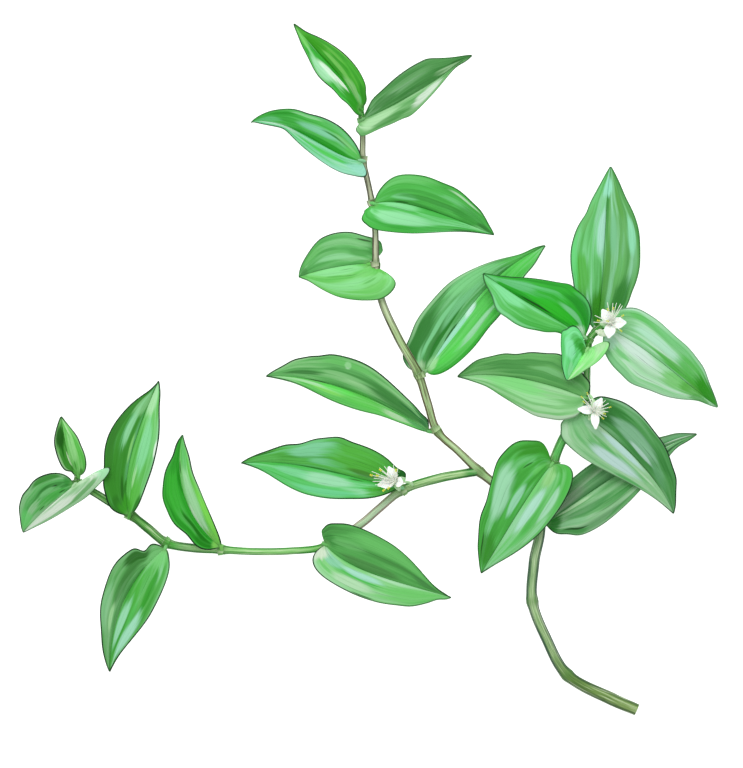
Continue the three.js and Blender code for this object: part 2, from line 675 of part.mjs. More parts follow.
/** A rod a little fatter than a stalk, which leaves are cut clear of. */
function stalkCutter(part, top) {
  const radius = STALK_RADIUS + CLEARANCE;
  return toSolid(rod([part.foot, part.elbow, top], [radius, radius], STALK_SIDES));
}

/** A closed bud on its stalk. */
function bud(part) {
  const tip = new THREE.Vector3(...part.tip);
  const elbow = new THREE.Vector3(...part.elbow);
  const outward = tip.clone().sub(elbow);
  const points = [part.foot, part.elbow, elbow.clone().addScaledVector(outward, 0.45).toArray(), part.tip];
  return toSolid(rod(points, [STALK_RADIUS, STALK_RADIUS, part.radius, 0.25], 8));
}

// ---------------------------------------------------------------- the sprig

const FINISH = {
  stem: { color: '#7fa35c', roughness: 0.55 },
  leaf: { color: '#5aa84e', roughness: 0.5 },
  petal: { color: '#f6f8f4', roughness: 0.6 },
  stamen: { color: '#e3dc4f', roughness: 0.7 },
  calyx: { color: '#8fc27c', roughness: 0.6 },
};

const sprig = new THREE.Group();

/** Adds one named piece to the sprig. */
function addPiece(name, solid, finish) {
  const material = new THREE.MeshStandardMaterial({ metalness: 0, ...finish });
  const mesh = new THREE.Mesh(toGeometry(solid), material);
  mesh.name = name;
  sprig.add(mesh);
}

const stemLines = Object.values(STEMS).map(stemLine);
const stem = stemSolid(stemLines, 0);
const stemClearance = stemSolid(stemLines, CLEARANCE);
const stalkClearance = FLOWERS.map((flower) => stalkCutter(flower, flower.heart))
  .reduce((a, b) => a.add(b), stalkCutter(BUD, BUD.tip));
const belowSurface = toSolid(
  new THREE.BoxGeometry(SURFACE_SIZE, SURFACE_SIZE, SURFACE_SIZE),
  new THREE.Matrix4().setPosition(0, 0, -SURFACE_SIZE / 2),
);
const leafCutter = stemClearance.add(stalkClearance).add(belowSurface);

addPiece('stem', stem, FINISH.stem);
for (const leaf of LEAVES) addPiece(leaf.name, leafSolid(leaf, stemLines, leafCutter), FINISH.leaf);
for (const flower of FLOWERS) {
  addPiece(`${flower.name}_stalk`, stalk(flower).subtract(stemClearance), FINISH.calyx);
  addPiece(`${flower.name}_petals`, petals(flower), FINISH.petal);
  addPiece(`${flower.name}_stamens`, stamens(flower), FINISH.stamen);
}
addPiece(BUD.name, bud(BUD).subtract(stemClearance), FINISH.calyx);

export default sprig;
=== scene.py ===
"""A cut sprig of small-leaf spiderwort, lying on a pale studio floor.

The sprig is one jointed stem with three leafy shoots, twenty-two clasping leaves, three small
white flowers and a bud. Every piece is a surface worked out on a grid with numpy, in the
millimetres of the construction model, and every finish is a procedural material that follows
the piece's own attributes.
"""

import logging
import math
from collections.abc import Iterable
from dataclasses import dataclass, field
from enum import Enum

import bpy
import numpy as np
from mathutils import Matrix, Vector


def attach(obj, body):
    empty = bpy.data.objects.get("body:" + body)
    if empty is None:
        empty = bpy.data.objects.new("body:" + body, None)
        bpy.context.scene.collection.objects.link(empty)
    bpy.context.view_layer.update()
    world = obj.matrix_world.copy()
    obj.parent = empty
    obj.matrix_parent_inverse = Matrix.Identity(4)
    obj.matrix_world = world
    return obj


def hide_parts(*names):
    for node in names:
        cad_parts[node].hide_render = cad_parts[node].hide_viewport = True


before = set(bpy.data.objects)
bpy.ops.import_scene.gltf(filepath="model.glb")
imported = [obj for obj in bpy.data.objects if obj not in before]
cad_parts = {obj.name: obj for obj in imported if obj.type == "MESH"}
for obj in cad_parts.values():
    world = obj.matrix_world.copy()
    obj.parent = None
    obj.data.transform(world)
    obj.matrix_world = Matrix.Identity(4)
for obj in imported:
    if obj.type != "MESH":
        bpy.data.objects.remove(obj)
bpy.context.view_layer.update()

LOG = logging.getLogger("sprig")
MM = 0.001
BODY = "root"
FULL_TURN = 2 * math.pi
SHARP_ANGLE = math.radians(50.0)
UP = np.array([0.0, 0.0, 1.0])
ASIDE = np.array([1.0, 0.0, 0.0])

Point = tuple[float, float, float]
Tones = tuple[str, str, str]
Marks = dict[str, np.ndarray]
Inputs = dict[int | str, object]
Socket = bpy.types.NodeSocket
Material = bpy.types.Material
Piece = bpy.types.Object

# ---------------------------------------------------------------- sizes shared with the solids, mm

ROOT_RADIUS = 0.5
TIP_WIDTH = 0.8
BLADE_CROWN = 0.6
POINT_DRAW = 0.28
POINT_FROM = 0.6
POINT_FULL = 0.95
CLEARANCE = 0.3
SHEATH_WALL = 0.6
NODE_SWELL = 0.38
NODE_SPREAD = 1.6
PETAL_ARCH = 0.4
SEPAL_LENGTH = 3.6
SEPAL_HALF_WIDTH = 1.1
SEPAL_DROP = -0.4
STALK_RADIUS = 0.5
STAMEN_HUB_HEIGHT = 1.6
CUP_DEPTH = 1.5


class Slot(Enum):
    """The material slots."""

    STEM = "stem"
    LEAF = "leaf"
    PETAL = "petal"
    STAMEN = "stamen"
    CALYX = "calyx"


# ---------------------------------------------------------------- curves and meshes


def unit(vectors: np.ndarray) -> np.ndarray:
    """Returns the vectors divided by their lengths."""
    return vectors / np.maximum(np.linalg.norm(vectors, axis=-1, keepdims=True), 1e-9)


def smoothstep(low: float, high: float, value: np.ndarray) -> np.ndarray:
    """Rises from 0 at low to 1 at high as three squares less two cubes of the share between."""
    share = np.clip((value - low) / (high - low), 0.0, 1.0)
    return share * share * (3.0 - 2.0 * share)


def between(places: np.ndarray, stops: np.ndarray, values: np.ndarray) -> np.ndarray:
    """Each column of the values, given at the stops, carried straight from stop to stop."""
    return np.stack([np.interp(places, stops, column) for column in values.T], axis=1)


def bezier(share: np.ndarray, *controls: np.ndarray) -> np.ndarray:
    """The Bezier curve: every control point weighted by its Bernstein polynomial of the share."""
    last = len(controls) - 1
    return sum(
        math.comb(last, order) * (1 - share) ** (last - order) * share**order * point
        for order, point in enumerate(controls)
    )


def spline(through: np.ndarray, steps: int) -> np.ndarray:
    """A centripetal Catmull-Rom curve.

    Between two points the knot interval is the root of their distance, and the slopes are those of
    the parabola through three neighbours. A point past each end mirrors its neighbour.

    Args:
        through: the points that it passes, points by 3.
        steps: the number of steps from one point to the next.

    Returns:
        The points of the curve, with every given point among them.
    """
    padded = np.concatenate([[2 * through[0] - through[1]], through, [2 * through[-1] - through[-2]]])
    gaps = np.linalg.norm(np.diff(padded, axis=0), axis=1, keepdims=True) ** 0.5
    x0, x1, x2, x3 = padded[:-3], padded[1:-2], padded[2:-1], padded[3:]
    d0, d1, d2 = gaps[:-2], gaps[1:-1], gaps[2:]
    m1 = ((x1 - x0) / d0 - (x2 - x0) / (d0 + d1) + (x2 - x1) / d1) * d1
    m2 = ((x2 - x1) / d1 - (x3 - x1) / (d1 + d2) + (x3 - x2) / d2) * d1
    share = np.linspace(0, 1, steps + 1)[:-1][None, :, None]
    c2 = (-3 * x1 + 3 * x2 - 2 * m1 - m2)[:, None]
    c3 = (2 * x1 - 2 * x2 + m1 + m2)[:, None]
    curve = (((c3 * share + c2) * share + m1[:, None]) * share + x1[:, None]).reshape(-1, 3)
    return np.concatenate([curve, through[-1:]])


def spokes(along: np.ndarray, helper: np.ndarray, angles: np.ndarray) -> np.ndarray:
    """Directions all round a line.

    Across is square to the line and to the helper, and lift is square to the line and to across.
    A spoke is the cosine of its angle across plus the sine along lift.

    Args:
        along: directions of the line, places by 3.
        helper: a direction that is not the line's, or one for each place.
        angles: the angles of the spokes.

    Returns:
        The unit directions, places by angles by 3.
    """
    across = unit(np.cross(helper, along))
    lift = np.cross(along, across)
    return across[:, None] * np.cos(angles)[:, None] + lift[:, None] * np.sin(angles)[:, None]


@dataclass
class Shell:
    """Closed surfaces in millimetres, with named values on every vertex."""

    vertices: np.ndarray
    quads: np.ndarray
    triangles: np.ndarray
    marks: Marks

    @classmethod
    def joined(cls, shells: Iterable["Shell"]) -> "Shell":
        """Puts several shells into one, side by side.

        Args:
            shells: shells that carry the same marks.

        Returns:
            One shell with every shell's vertices, faces and marks.
        """
        parts = list(shells)
        starts = np.cumsum([0] + [len(part.vertices) for part in parts[:-1]])
        return cls(
            np.concatenate([part.vertices for part in parts]),
            np.concatenate([part.quads + start for part, start in zip(parts, starts)]),
            np.concatenate([part.triangles + start for part, start in zip(parts, starts)]),
            {name: np.concatenate([part.marks[name] for part in parts]) for name in parts[0].marks},
        )

    def on_floor(self) -> "Shell":
        """Raises every vertex that is below the floor onto it."""
        self.vertices[:, 2] = np.maximum(self.vertices[:, 2], 0.0)
        return self

    def piece(self, name: str, material: Material, slot: Slot, nodes: tuple[str, ...] = ()) -> Piece:
        """Turns the shell into a finished object that rides on the sprig.

        Args:
            name: the object's name.
            material: its finish.
            slot: the material slot of the finish; not used.
            nodes: the solids that it stands for.

        Returns:
            The object.
        """
        mesh = bpy.data.meshes.new(name)
        faces = self.quads.tolist() + self.triangles.tolist()
        mesh.from_pydata((self.vertices * MM).tolist(), [], faces)
        for mark, values in self.marks.items():
            attribute = mesh.attributes.new(mark, "FLOAT_VECTOR", "POINT")
            attribute.data.foreach_set("vector", values.astype(np.float32).ravel())
        mesh.shade_smooth()
        mesh.set_sharp_from_angle(angle=SHARP_ANGLE)
        mesh.materials.append(material)
        piece = bpy.data.objects.new(name, mesh)
        bpy.context.scene.collection.objects.link(piece)
        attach(piece, BODY)
        if nodes:
            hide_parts(*nodes)
        LOG.info("%s: %d vertices, %d faces", name, len(self.vertices), len(faces))
        return piece


def closed_sheet(middle: np.ndarray, thickness: np.ndarray, marks: Marks) -> Shell:
    """Thickens a grid of points into a closed thin body.

    The normal at a point is the cross product of the differences along the rows and across the
    columns. The upper face is the middle plus half the thickness along it, and the lower face
    the middle less half. A rim of quads joins them all round.

    Args:
        middle: points, rows by columns by 3.
        thickness: the thickness at each point, rows by columns.
        marks: values at each point, rows by columns by 3; the third value of "blade" is the side
            and is turned round on the lower face.

    Returns:
        The closed body.
    """
    normals = unit(np.cross(np.gradient(middle, axis=0), np.gradient(middle, axis=1)))
    half = normals * thickness[..., None] / 2
    below = thickness.size
    grid = np.arange(below).reshape(thickness.shape)
    upper = np.stack([grid[:-1, :-1], grid[1:, :-1], grid[1:, 1:], grid[:-1, 1:]], axis=-1).reshape(-1, 4)
    edge = np.concatenate([grid[:-1, 0], grid[-1, :-1], grid[:0:-1, -1], grid[0, :0:-1]])
    after = np.roll(edge, -1)
    rim = np.stack([edge, edge + below, after + below, after], axis=1)
    both = {}
    for name, values in marks.items():
        turned = values * (1, 1, -1) if name == "blade" else values
        both[name] = np.concatenate([values.reshape(-1, 3), turned.reshape(-1, 3)])
    vertices = np.concatenate([(middle + half).reshape(-1, 3), (middle - half).reshape(-1, 3)])
    quads = np.concatenate([upper, upper[:, ::-1] + below, rim])
    return Shell(vertices, quads, np.zeros((0, 3), int), both)


def tube(path: np.ndarray, radii: np.ndarray, sides: int, marks: Marks | None = None) -> Shell:
    """Carries a ring of points along a path and closes both ends.

    A ring's point is the centre plus the radius along a spoke. The caps are fans round the
    path's two ends.

    Args:
        path: centres, rings by 3.
        radii: one radius for each ring, or one for each ring and side.
        sides: the number of points in a ring.
        marks: values for each ring, rings by 3, spread over its points; "stem" also gets the
            cosine and the sine of the angle as its second and third value.

    Returns:
        The closed tube.
    """
    rings = len(path)
    chord = path[-1] - path[0]
    upright = 0.8
    helper = ASIDE if abs(chord[2]) > upright * np.linalg.norm(chord) else UP
    angles = (np.arange(sides) + 0.5) / sides * FULL_TURN
    radii = np.broadcast_to(radii.reshape(rings, -1), (rings, sides))[..., None]
    points = path[:, None] + radii * spokes(unit(np.gradient(path, axis=0)), helper, angles)
    ring = np.arange(rings * sides).reshape(rings, sides)
    after = np.roll(ring, -1, axis=1)
    quads = np.stack([ring[:-1], after[:-1], after[1:], ring[1:]], axis=-1).reshape(-1, 4)
    start = np.full(sides, rings * sides)
    caps = np.concatenate([
        np.stack([start, after[0], ring[0]], axis=1), np.stack([start + 1, ring[-1], after[-1]], axis=1),
    ])
    spread = {}
    for name, values in (marks or {}).items():
        wide = np.repeat(values[:, None], sides, axis=1)
        if name == "stem":
            wide[..., 1], wide[..., 2] = np.cos(angles), np.sin(angles)
        spread[name] = np.concatenate([wide.reshape(-1, 3), values[:1], values[-1:]])
    return Shell(np.concatenate([points.reshape(-1, 3), path[:1], path[-1:]]), quads, caps, spread)


def ellipsoid(centre: np.ndarray, axis: np.ndarray, length: float, radius: float, marks: Marks) -> Shell:
    """A rounded body: a tube whose radius is the root of one less the square of the place along it.

    Args:
        centre: its middle.
        axis: the direction of its long axis.
        length: half its length.
        radius: its largest radius.
        marks: one value of 3 for the whole body, by name.

    Returns:
        The closed body.
    """
    rings, sides, blunt = 9, 12, 0.004
    place = np.cos(np.linspace(math.pi, 0.0, rings))
    path = centre + place[:, None] * length * unit(axis)
    radii = radius * np.sqrt(np.clip(1 - place * place, blunt, 1))
    return tube(path, radii, sides, {name: np.tile(value, (rings, 1)) for name, value in marks.items()})


def hairs(roots: np.ndarray, directions: np.ndarray, length: float, radius: float) -> Shell:
    """Many fine cones of three sides each.

    A cone has three points round its root, square to its direction, and one at the root plus
    the length along the direction.

    Args:
        roots: where the hairs stand, hairs by 3.
        directions: where they point, hairs by 3.
        length: the length of a hair.
        radius: the radius at its root.

    Returns:
        All the cones in one shell.
    """
    axis = unit(directions)
    upright = 0.9
    helper = np.where(np.abs(axis[:, 2:]) > upright, ASIDE, UP)
    feet = roots[:, None] + radius * spokes(axis, helper, np.arange(3) * FULL_TURN / 3)
    points = np.concatenate([feet, (roots + length * axis)[:, None]], axis=1).reshape(-1, 3)
    start = np.arange(len(roots))[:, None, None] * 4
    faces = start + np.array([[0, 1, 3], [1, 2, 3], [2, 0, 3], [0, 2, 1]])[None]
    return Shell(points, np.zeros((0, 4), int), faces.reshape(-1, 3), {})


# ---------------------------------------------------------------- finishes


def linear(code: str) -> tuple[float, float, float, float]:
    """Turns an sRGB hex colour into linear red, green, blue and full alpha.

    Args:
        code: a colour such as "#5aa84e".

    Returns:
        The linear colour, by the sRGB curve: the share is divided by 12.92 near black, and
        elsewhere raised to 2.4 after an offset of 0.055.
    """
    shares = [int(code[start:start + 2], 16) / 255 for start in (1, 3, 5)]
    red, green, blue = (
        share / 12.92 if share <= 0.04045 else ((share + 0.055) / 1.055) ** 2.4 for share in shares
    )
    return (red, green, blue, 1.0)


class NodeSheet:
    """A node material while it is being put together."""

    def __init__(self, name: str) -> None:
        """Starts an empty material of that name."""
        self.material = bpy.data.materials.new(name)
        self.material.use_nodes = True
        self.tree = self.material.node_tree
        self.tree.nodes.clear()

    def add(self, kind: str, inputs: Inputs, out: int | str | None = 0, **settings: object) -> Socket:
        """Adds one node, with its settings, socket values and links.

        Args:
            kind: the node's type name, less its first words.
            inputs: for a socket's index or name, a value, or another node's output to link.
            out: the index or name of the wanted output, or None for all of them.
            settings: properties of the node.

        Returns:
            The wanted output, or all of them.
        """
        node = self.tree.nodes.new(f"ShaderNode{kind}")
        for name, value in settings.items():
            setattr(node, name, value)
        for key, value in inputs.items():
            if isinstance(value, Socket):
                self.tree.links.new(value, node.inputs[key])
            else:
                node.inputs[key].default_value = value
        return node.outputs if out is None else node.outputs[out]

    def over(self, colour: Socket, cover: Socket, tone: str | Socket, strength: float = 1.0) -> Socket:
        """Lays a tone over the colour.

        Args:
            colour: the colour so far.
            cover: where the tone goes, 0 to 1.
            tone: the tone as sRGB hex, or another colour.
            strength: the most that it covers.

        Returns:
            The new colour.
        """
        share = self.add("Math", {0: cover, 1: strength}, operation="MULTIPLY")
        top = linear(tone) if isinstance(tone, str) else tone
        return self.add("Mix", {0: share, 6: colour, 7: top}, 2, data_type="RGBA")

    def finished(
        self, surface: Inputs, height: Socket | None = None, relief: tuple[float, float] = (0.0, 0.0)
    ) -> Material:
        """Ends the material in one surface.

        Args:
            surface: the values and links of the surface's own sockets.
            height: the pattern that stands out as a fine relief.
            relief: the strength of the relief, and its depth in metres.

        Returns:
            The material.
        """
        if height is not None:
            strength, depth = relief
            normal = self.add("Bump", {"Strength": strength, "Distance": depth, "Height": height})
            surface = surface | {"Normal": normal}
        self.add("OutputMaterial", {0: self.add("BsdfPrincipled", surface)}, None)
        return self.material


@dataclass(frozen=True)
class ToneAndLightStreak:
    """A soft lengthwise streak on a blade: a painted highlight, painted shade in a fold, or another tone of
    the tissue such as a pale lobe.

    The streak is an ellipse in shares of the blade: t from the base to the tip, and v from -1 at
    the right margin over the midrib to 1 at the left margin.
    """

    t: float
    v: float
    half_length: float
    half_width: float
    tone: str
    strength: float


@dataclass(frozen=True)
class FineLine:
    """A dark line along a blade: full up to one distance in mm, and gone by another.

    It falls to its weakest share where the blade's coarse grain has the faint value, and is whole
    where the grain has the strong one.
    """

    full: float
    gone: float
    faint: float
    strong: float
    tone: str
    weakest: float = 0.45


# painted shade: a dark line in the crease along the midrib
CREASE_SHADE = FineLine(0.12, 0.42, 0.62, 0.42, "#1f5c24")
MARGIN = FineLine(0.26, 0.64, 0.38, 0.6, "#0c2f15")


@dataclass(frozen=True)
class LeafFinish:
    """Living spiderwort leaf: a smooth, waxy cuticle over green tissue.

    The wax gives a soft gloss, and the parallel veins show as fine lines from base to tip. Left and right
    are the darkest, the usual and the lightest green of the two halves; the two halves differ as painted
    light and shade of the folded blade, and the lightest greens are partly a painted sheen. Broad glints
    and dark folds are painted in as streaks. The grain and the veins are coarser than real ones, so that
    they show.
    """

    left: Tones
    right: Tones
    tone_and_light_streaks: tuple[ToneAndLightStreak, ...]
    seed: float
    crease_shade: float
    rim: float
    roughness: float = 0.5
    vein_count: int = 6
    depth: float = 0.87
    fullness: float = 1.003

    def material(self, name: str) -> Material:
        """Builds the node material.

        Args:
            name: the leaf that it is for.

        Returns:
            The material.
        """
        sheet = NodeSheet(f"waxy_leaf_tissue_{name}")
        blade = sheet.add("Attribute", {}, "Vector", attribute_name="blade")
        measure = sheet.add("Attribute", {}, "Vector", attribute_name="measure")
        _, across, face = sheet.add("SeparateXYZ", {0: blade}, None)
        to_margin, to_rib, to_base = sheet.add("SeparateXYZ", {0: measure}, None)
        coarse = self._grain(sheet, blade, (1.5, 3.6), 1.3, 0.0)
        fine = self._grain(sheet, blade, (2.0, 9.5), 2.2, 5.0)
        colour = self._greens(sheet, blade, across, coarse, fine)
        # the streaks lay painted highlights and painted shade, with some tones of the tissue, over the greens
        for streak in self.tone_and_light_streaks:
            colour = self._streak(sheet, colour, blade, fine, streak)
        veins = self._veins(sheet, across)
        colour = sheet.over(colour, veins, "#2f7a34", 0.1)
        ink = sheet.add("MapRange", {
            "Value": self._grain(sheet, blade, (2.4, 26.0), 2.0, 9.0),
            "From Min": 0.66, "From Max": 0.72, "To Max": 0.5,
        })
        colour = sheet.over(colour, ink, "#1c4a20")
        # the crease line is painted shade along the midrib's fold; the margin line is a dark outline
        for line, distance, strength in ((CREASE_SHADE, to_rib, self.crease_shade), (MARGIN, to_margin, self.rim)):
            near = sheet.add("MapRange", {
                "Value": distance, "From Min": line.gone, "From Max": line.full,
            }, interpolation_type="SMOOTHSTEP")
            gaps = sheet.add("MapRange", {
                "Value": coarse, "From Min": line.faint, "From Max": line.strong, "To Min": line.weakest,
            })
            near = sheet.add("Math", {0: near, 1: gaps}, operation="MULTIPLY")
            colour = sheet.over(colour, near, line.tone, strength)
        neck = sheet.add("MapRange", {
            "Value": to_base, "From Min": 2.6, "From Max": 0.8,
        }, interpolation_type="SMOOTHSTEP")
        colour = sheet.over(colour, neck, "#6fb562", 0.45)
        under = sheet.add("MapRange", {"Value": face, "From Min": 0.2, "From Max": -0.2})
        colour = sheet.over(colour, under, "#a9cf9f", 0.45)
        colour = sheet.add("HueSaturation", {
            "Hue": 0.494, "Saturation": self.fullness, "Value": self.depth, "Color": colour,
        })
        ridge = sheet.add("Math", {0: fine, 1: veins}, operation="SUBTRACT")
        surface = {
            "Base Color": colour, "Roughness": self.roughness, "IOR": 1.42, "Specular IOR Level": 0.18,
        }
        return sheet.finished(surface, ridge, (0.3, 0.00012))

    def _grain(
        self, sheet: NodeSheet, blade: Socket, scale: tuple[float, float], detail: float, shift: float
    ) -> Socket:
        """Noise drawn out along the veins.

        Args:
            sheet: the material.
            blade: the place on the blade.
            scale: how often it changes along and across the blade.
            detail: its octaves.
            shift: moves it to another part of the noise.

        Returns:
            The noise, about 0.3 to 0.7.
        """
        place = sheet.add("Mapping", {
            "Vector": blade, "Location": (self.seed + shift, self.seed * 1.7, 0.0), "Scale": (*scale, 0.0),
        })
        return sheet.add("TexNoise", {"Vector": place, "Scale": 1.0, "Detail": detail, "Roughness": 0.5})

    def _veins(self, sheet: NodeSheet, across: Socket) -> Socket:
        """Fine parallel veins, where the sine of the place across the blade passes near nought.

        Args:
            sheet: the material.
            across: the place across the blade.

        Returns:
            1 on a vein and 0 between veins.
        """
        turns = sheet.add("Math", {0: across, 1: self.vein_count * math.pi}, operation="MULTIPLY")
        wave = sheet.add("Math", {0: turns}, operation="SINE")
        size = sheet.add("Math", {0: wave}, operation="ABSOLUTE")
        return sheet.add("MapRange", {
            "Value": size, "From Min": 0.45, "From Max": 0.05,
        }, interpolation_type="SMOOTHSTEP")

    def _greens(
        self, sheet: NodeSheet, blade: Socket, across: Socket, coarse: Socket, fine: Socket
    ) -> Socket:
        """The mottled green of both halves, each spread over the same grain and panels; the halves' greens
        differ as painted light and shade.

        Args:
            sheet: the material.
            blade: the place on the blade.
            across: its part across the blade.
            coarse: the coarse noise.
            fine: the fine noise.

        Returns:
            The colour.
        """
        grain = sheet.add("Mix", {0: 0.3, 2: coarse, 3: fine})
        grain = sheet.add("Mix", {0: 0.22, 2: grain, 3: self._panels(sheet, blade, fine)})
        halves = []
        # painted light and shade: the two halves of the folded blade get different greens
        for tones in (self.right, self.left):
            half = sheet.add("ValToRGB", {0: grain})
            stops = half.node.color_ramp.elements
            shade, body, light = (linear(tone) for tone in tones)
            stops[0].position, stops[0].color = 0.33, shade
            stops[1].position, stops[1].color = 0.72, light
            stops.new(0.5).color = body
            halves.append(half)
        side = sheet.add("MapRange", {"Value": across, "From Min": -0.015, "From Max": 0.015})
        return sheet.add("Mix", {0: side, 6: halves[0], 7: halves[1]}, 2, data_type="RGBA")

    def _panels(self, sheet: NodeSheet, blade: Socket, grain: Socket) -> Socket:
        """Long panels of slightly different tone between the veins, with edges frayed by the grain.

        Args:
            sheet: the material.
            blade: the place on the blade.
            grain: the fine noise that frays the edges.

        Returns:
            One random value from 0 to 1 for each panel.
        """
        place = sheet.add("Mapping", {
            "Vector": blade, "Location": (self.seed * 3.1, self.seed, 0.0), "Scale": (2.8, 5.6, 0.0),
        })
        fray = sheet.add("VectorMath", {0: grain, 1: (1.2, 0.9, 0.0), 2: place}, operation="MULTIPLY_ADD")
        cells = sheet.add(
            "TexVoronoi", {"Vector": fray, "Scale": 1.0, "Smoothness": 0.3}, "Color", feature="SMOOTH_F1"
        )
        return sheet.add("SeparateColor", {0: cells})

    def _streak(
        self, sheet: NodeSheet, colour: Socket, blade: Socket, grain: Socket, streak: ToneAndLightStreak
    ) -> Socket:
        """Lays one streak over the colour, with edges frayed by the grain: a painted highlight, painted shade
        or another tone.

        Args:
            sheet: the material.
            colour: the colour so far.
            blade: the place on the blade.
            grain: the fine noise that frays the edge.
            streak: the streak.

        Returns:
            The colour with the streak.
        """
        along, across = 1 / streak.half_length, 1 / streak.half_width
        place = sheet.add("Mapping", {
            "Vector": blade, "Location": (-streak.t * along, -streak.v * across, 0.0),
            "Scale": (along, across, 0.0),
        })
        reach = sheet.add("VectorMath", {0: place}, "Value", operation="LENGTH")
        frayed = sheet.add("Math", {0: grain, 1: 0.9, 2: reach}, operation="MULTIPLY_ADD")
        cover = sheet.add("MapRange", {
            "Value": frayed, "From Min": 1.6, "From Max": 1.06, "To Max": streak.strength,
        }, interpolation_type="SMOOTHSTEP")
        return sheet.add("Mix", {0: cover, 6: colour, 7: linear(streak.tone)}, 2, data_type="RGBA")


@dataclass(frozen=True)
class StemFinish:
    """Living herbaceous stem: a juicy green rod with a thin waxy skin.

    The skin gives a soft gloss, fine lengthwise ribs and a darker band at every joint. Its flanks take the
    edge colour, partly the stem's own tint and partly painted shade of the round stem.
    """

    joint: str = "#4c7a38"
    pale: str = "#d3e2bd"
    roughness: float = 0.42

    def material(self) -> Material:
        """Builds the node material from the stem's own tone, edge, stem and reach attributes."""
        sheet = NodeSheet("juicy_stem_skin")
        tone, edge, stem, reach = (
            sheet.add("Attribute", {}, "Vector", attribute_name=name)
            for name in ("tone", "edge", "stem", "reach")
        )
        near_joint, around, _ = sheet.add("SeparateXYZ", {0: stem}, None)
        spread = sheet.add("VectorMath", {0: stem, 1: (0.0, 3.6, 3.6)}, operation="MULTIPLY")
        run = sheet.add("VectorMath", {0: reach, 1: (0.07, 0.0, 0.0), 2: spread}, operation="MULTIPLY_ADD")
        lines = sheet.add("TexNoise", {"Vector": run, "Scale": 1.0, "Detail": 3.0, "Roughness": 0.6})
        # painted shade: the flanks of the round stem darken towards the edge colour
        flank_shade = sheet.add("Math", {0: around}, operation="ABSOLUTE")
        flank_shade = sheet.add("Math", {0: lines, 1: 0.5, 2: flank_shade}, operation="MULTIPLY_ADD")
        flank_shade = sheet.add("MapRange", {
            "Value": flank_shade, "From Min": 0.7, "From Max": 0.93,
        }, interpolation_type="SMOOTHSTEP")
        colour = sheet.over(tone, flank_shade, edge)
        for start, end, strength, line in ((0.53, 0.66, 0.55, self.pale), (0.47, 0.38, 0.75, edge)):
            cover = sheet.add("MapRange", {"Value": lines, "From Min": start, "From Max": end})
            colour = sheet.over(colour, cover, line, strength)
        colour = sheet.over(colour, near_joint, self.joint, 0.55)
        surface = {
            "Base Color": colour, "Roughness": self.roughness, "IOR": 1.42, "Specular IOR Level": 0.15,
        }
        return sheet.finished(surface, lines, (0.3, 0.0001))


@dataclass(frozen=True)
class PetalFinish:
    """Fresh petal: thin white tissue, matte, with grey-green painted shade where it gathers at the base and
    faint grey-green lines.
    """

    white: str = "#fbfcfa"
    heart: str = "#aebfa6"
    roughness: float = 0.6

    def material(self) -> Material:
        """Builds the node material from the petal's blade attribute."""
        sheet = NodeSheet("matte_petal_tissue")
        blade = sheet.add("Attribute", {}, "Vector", attribute_name="blade")
        along = sheet.add("SeparateXYZ", {0: blade})
        # painted shade: grey-green towards the petal's gathered base
        base = sheet.add("MapRange", {
            "Value": along, "From Min": 0.42, "From Max": 0.02, "To Max": 0.8,
        }, interpolation_type="SMOOTHSTEP")
        spread = sheet.add("Mapping", {"Vector": blade, "Scale": (1.5, 9.0, 0.0)})
        veins = sheet.add("TexNoise", {"Vector": spread, "Scale": 1.0, "Detail": 2.0})
        faint = sheet.add("MapRange", {"Value": veins, "From Min": 0.5, "From Max": 0.75, "To Max": 0.3})
        share = sheet.add("Math", {0: base, 1: faint}, operation="MAXIMUM")
        tones = {6: linear(self.white), 7: linear(self.heart)}
        colour = sheet.add("Mix", {0: share} | tones, 2, data_type="RGBA")
        surface = {
            "Base Color": colour, "Roughness": self.roughness, "Specular IOR Level": 0.25,
            "Subsurface Weight": 0.15, "Subsurface Scale": 0.0006,
        }
        return sheet.finished(surface, veins, (0.25, 0.00008))


@dataclass(frozen=True)
class GrainFinish:
    """Small soft plant parts with a fine grain: pollen sacs, hairs, sepals and the bud.

    Two close tones are mixed by noise of a fraction of a millimetre, over a matte surface.
    """

    name: str
    tone: str
    other: str
    per_mm: float
    roughness: float = 0.65

    def material(self) -> Material:
        """Builds the node material on Object coordinates."""
        sheet = NodeSheet(self.name)
        place = sheet.add("TexCoord", {}, "Object")
        noise = sheet.add("TexNoise", {"Vector": place, "Scale": self.per_mm / MM, "Detail": 2.0})
        share = sheet.add("MapRange", {"Value": noise, "From Min": 0.38, "From Max": 0.62})
        tones = {6: linear(self.tone), 7: linear(self.other)}
        colour = sheet.add("Mix", {0: share} | tones, 2, data_type="RGBA")
        surface = {"Base Color": colour, "Roughness": self.roughness, "Specular IOR Level": 0.3}
        return sheet.finished(surface, noise, (0.3, 0.00006))


@dataclass(frozen=True)
class BoardFinish:
    """White light board under the sprig: matte opal acrylic, softly lit from below.

    It gives a white ground with almost no shadow, and a barely visible grain.
    """

    tone: str = "#b8b9b8"
    other: str = "#b4b5b4"
    per_metre: float = 60.0
    glow: float = 0.95

    def material(self) -> Material:
        """Builds the node material on Object coordinates."""
        sheet = NodeSheet("matte_opal_acrylic")
        place = sheet.add("TexCoord", {}, "Object")
        noise = sheet.add("TexNoise", {"Vector": place, "Scale": self.per_metre, "Detail": 3.0})
        tones = {6: linear(self.tone), 7: linear(self.other)}
        colour = sheet.add("Mix", {0: noise} | tones, 2, data_type="RGBA")
        return sheet.finished({
            "Base Color": colour, "Roughness": 0.95, "Specular IOR Level": 0.1,
            "Emission Color": linear("#ffffff"), "Emission Strength": self.glow,
        })


# ---------------------------------------------------------------- the stem


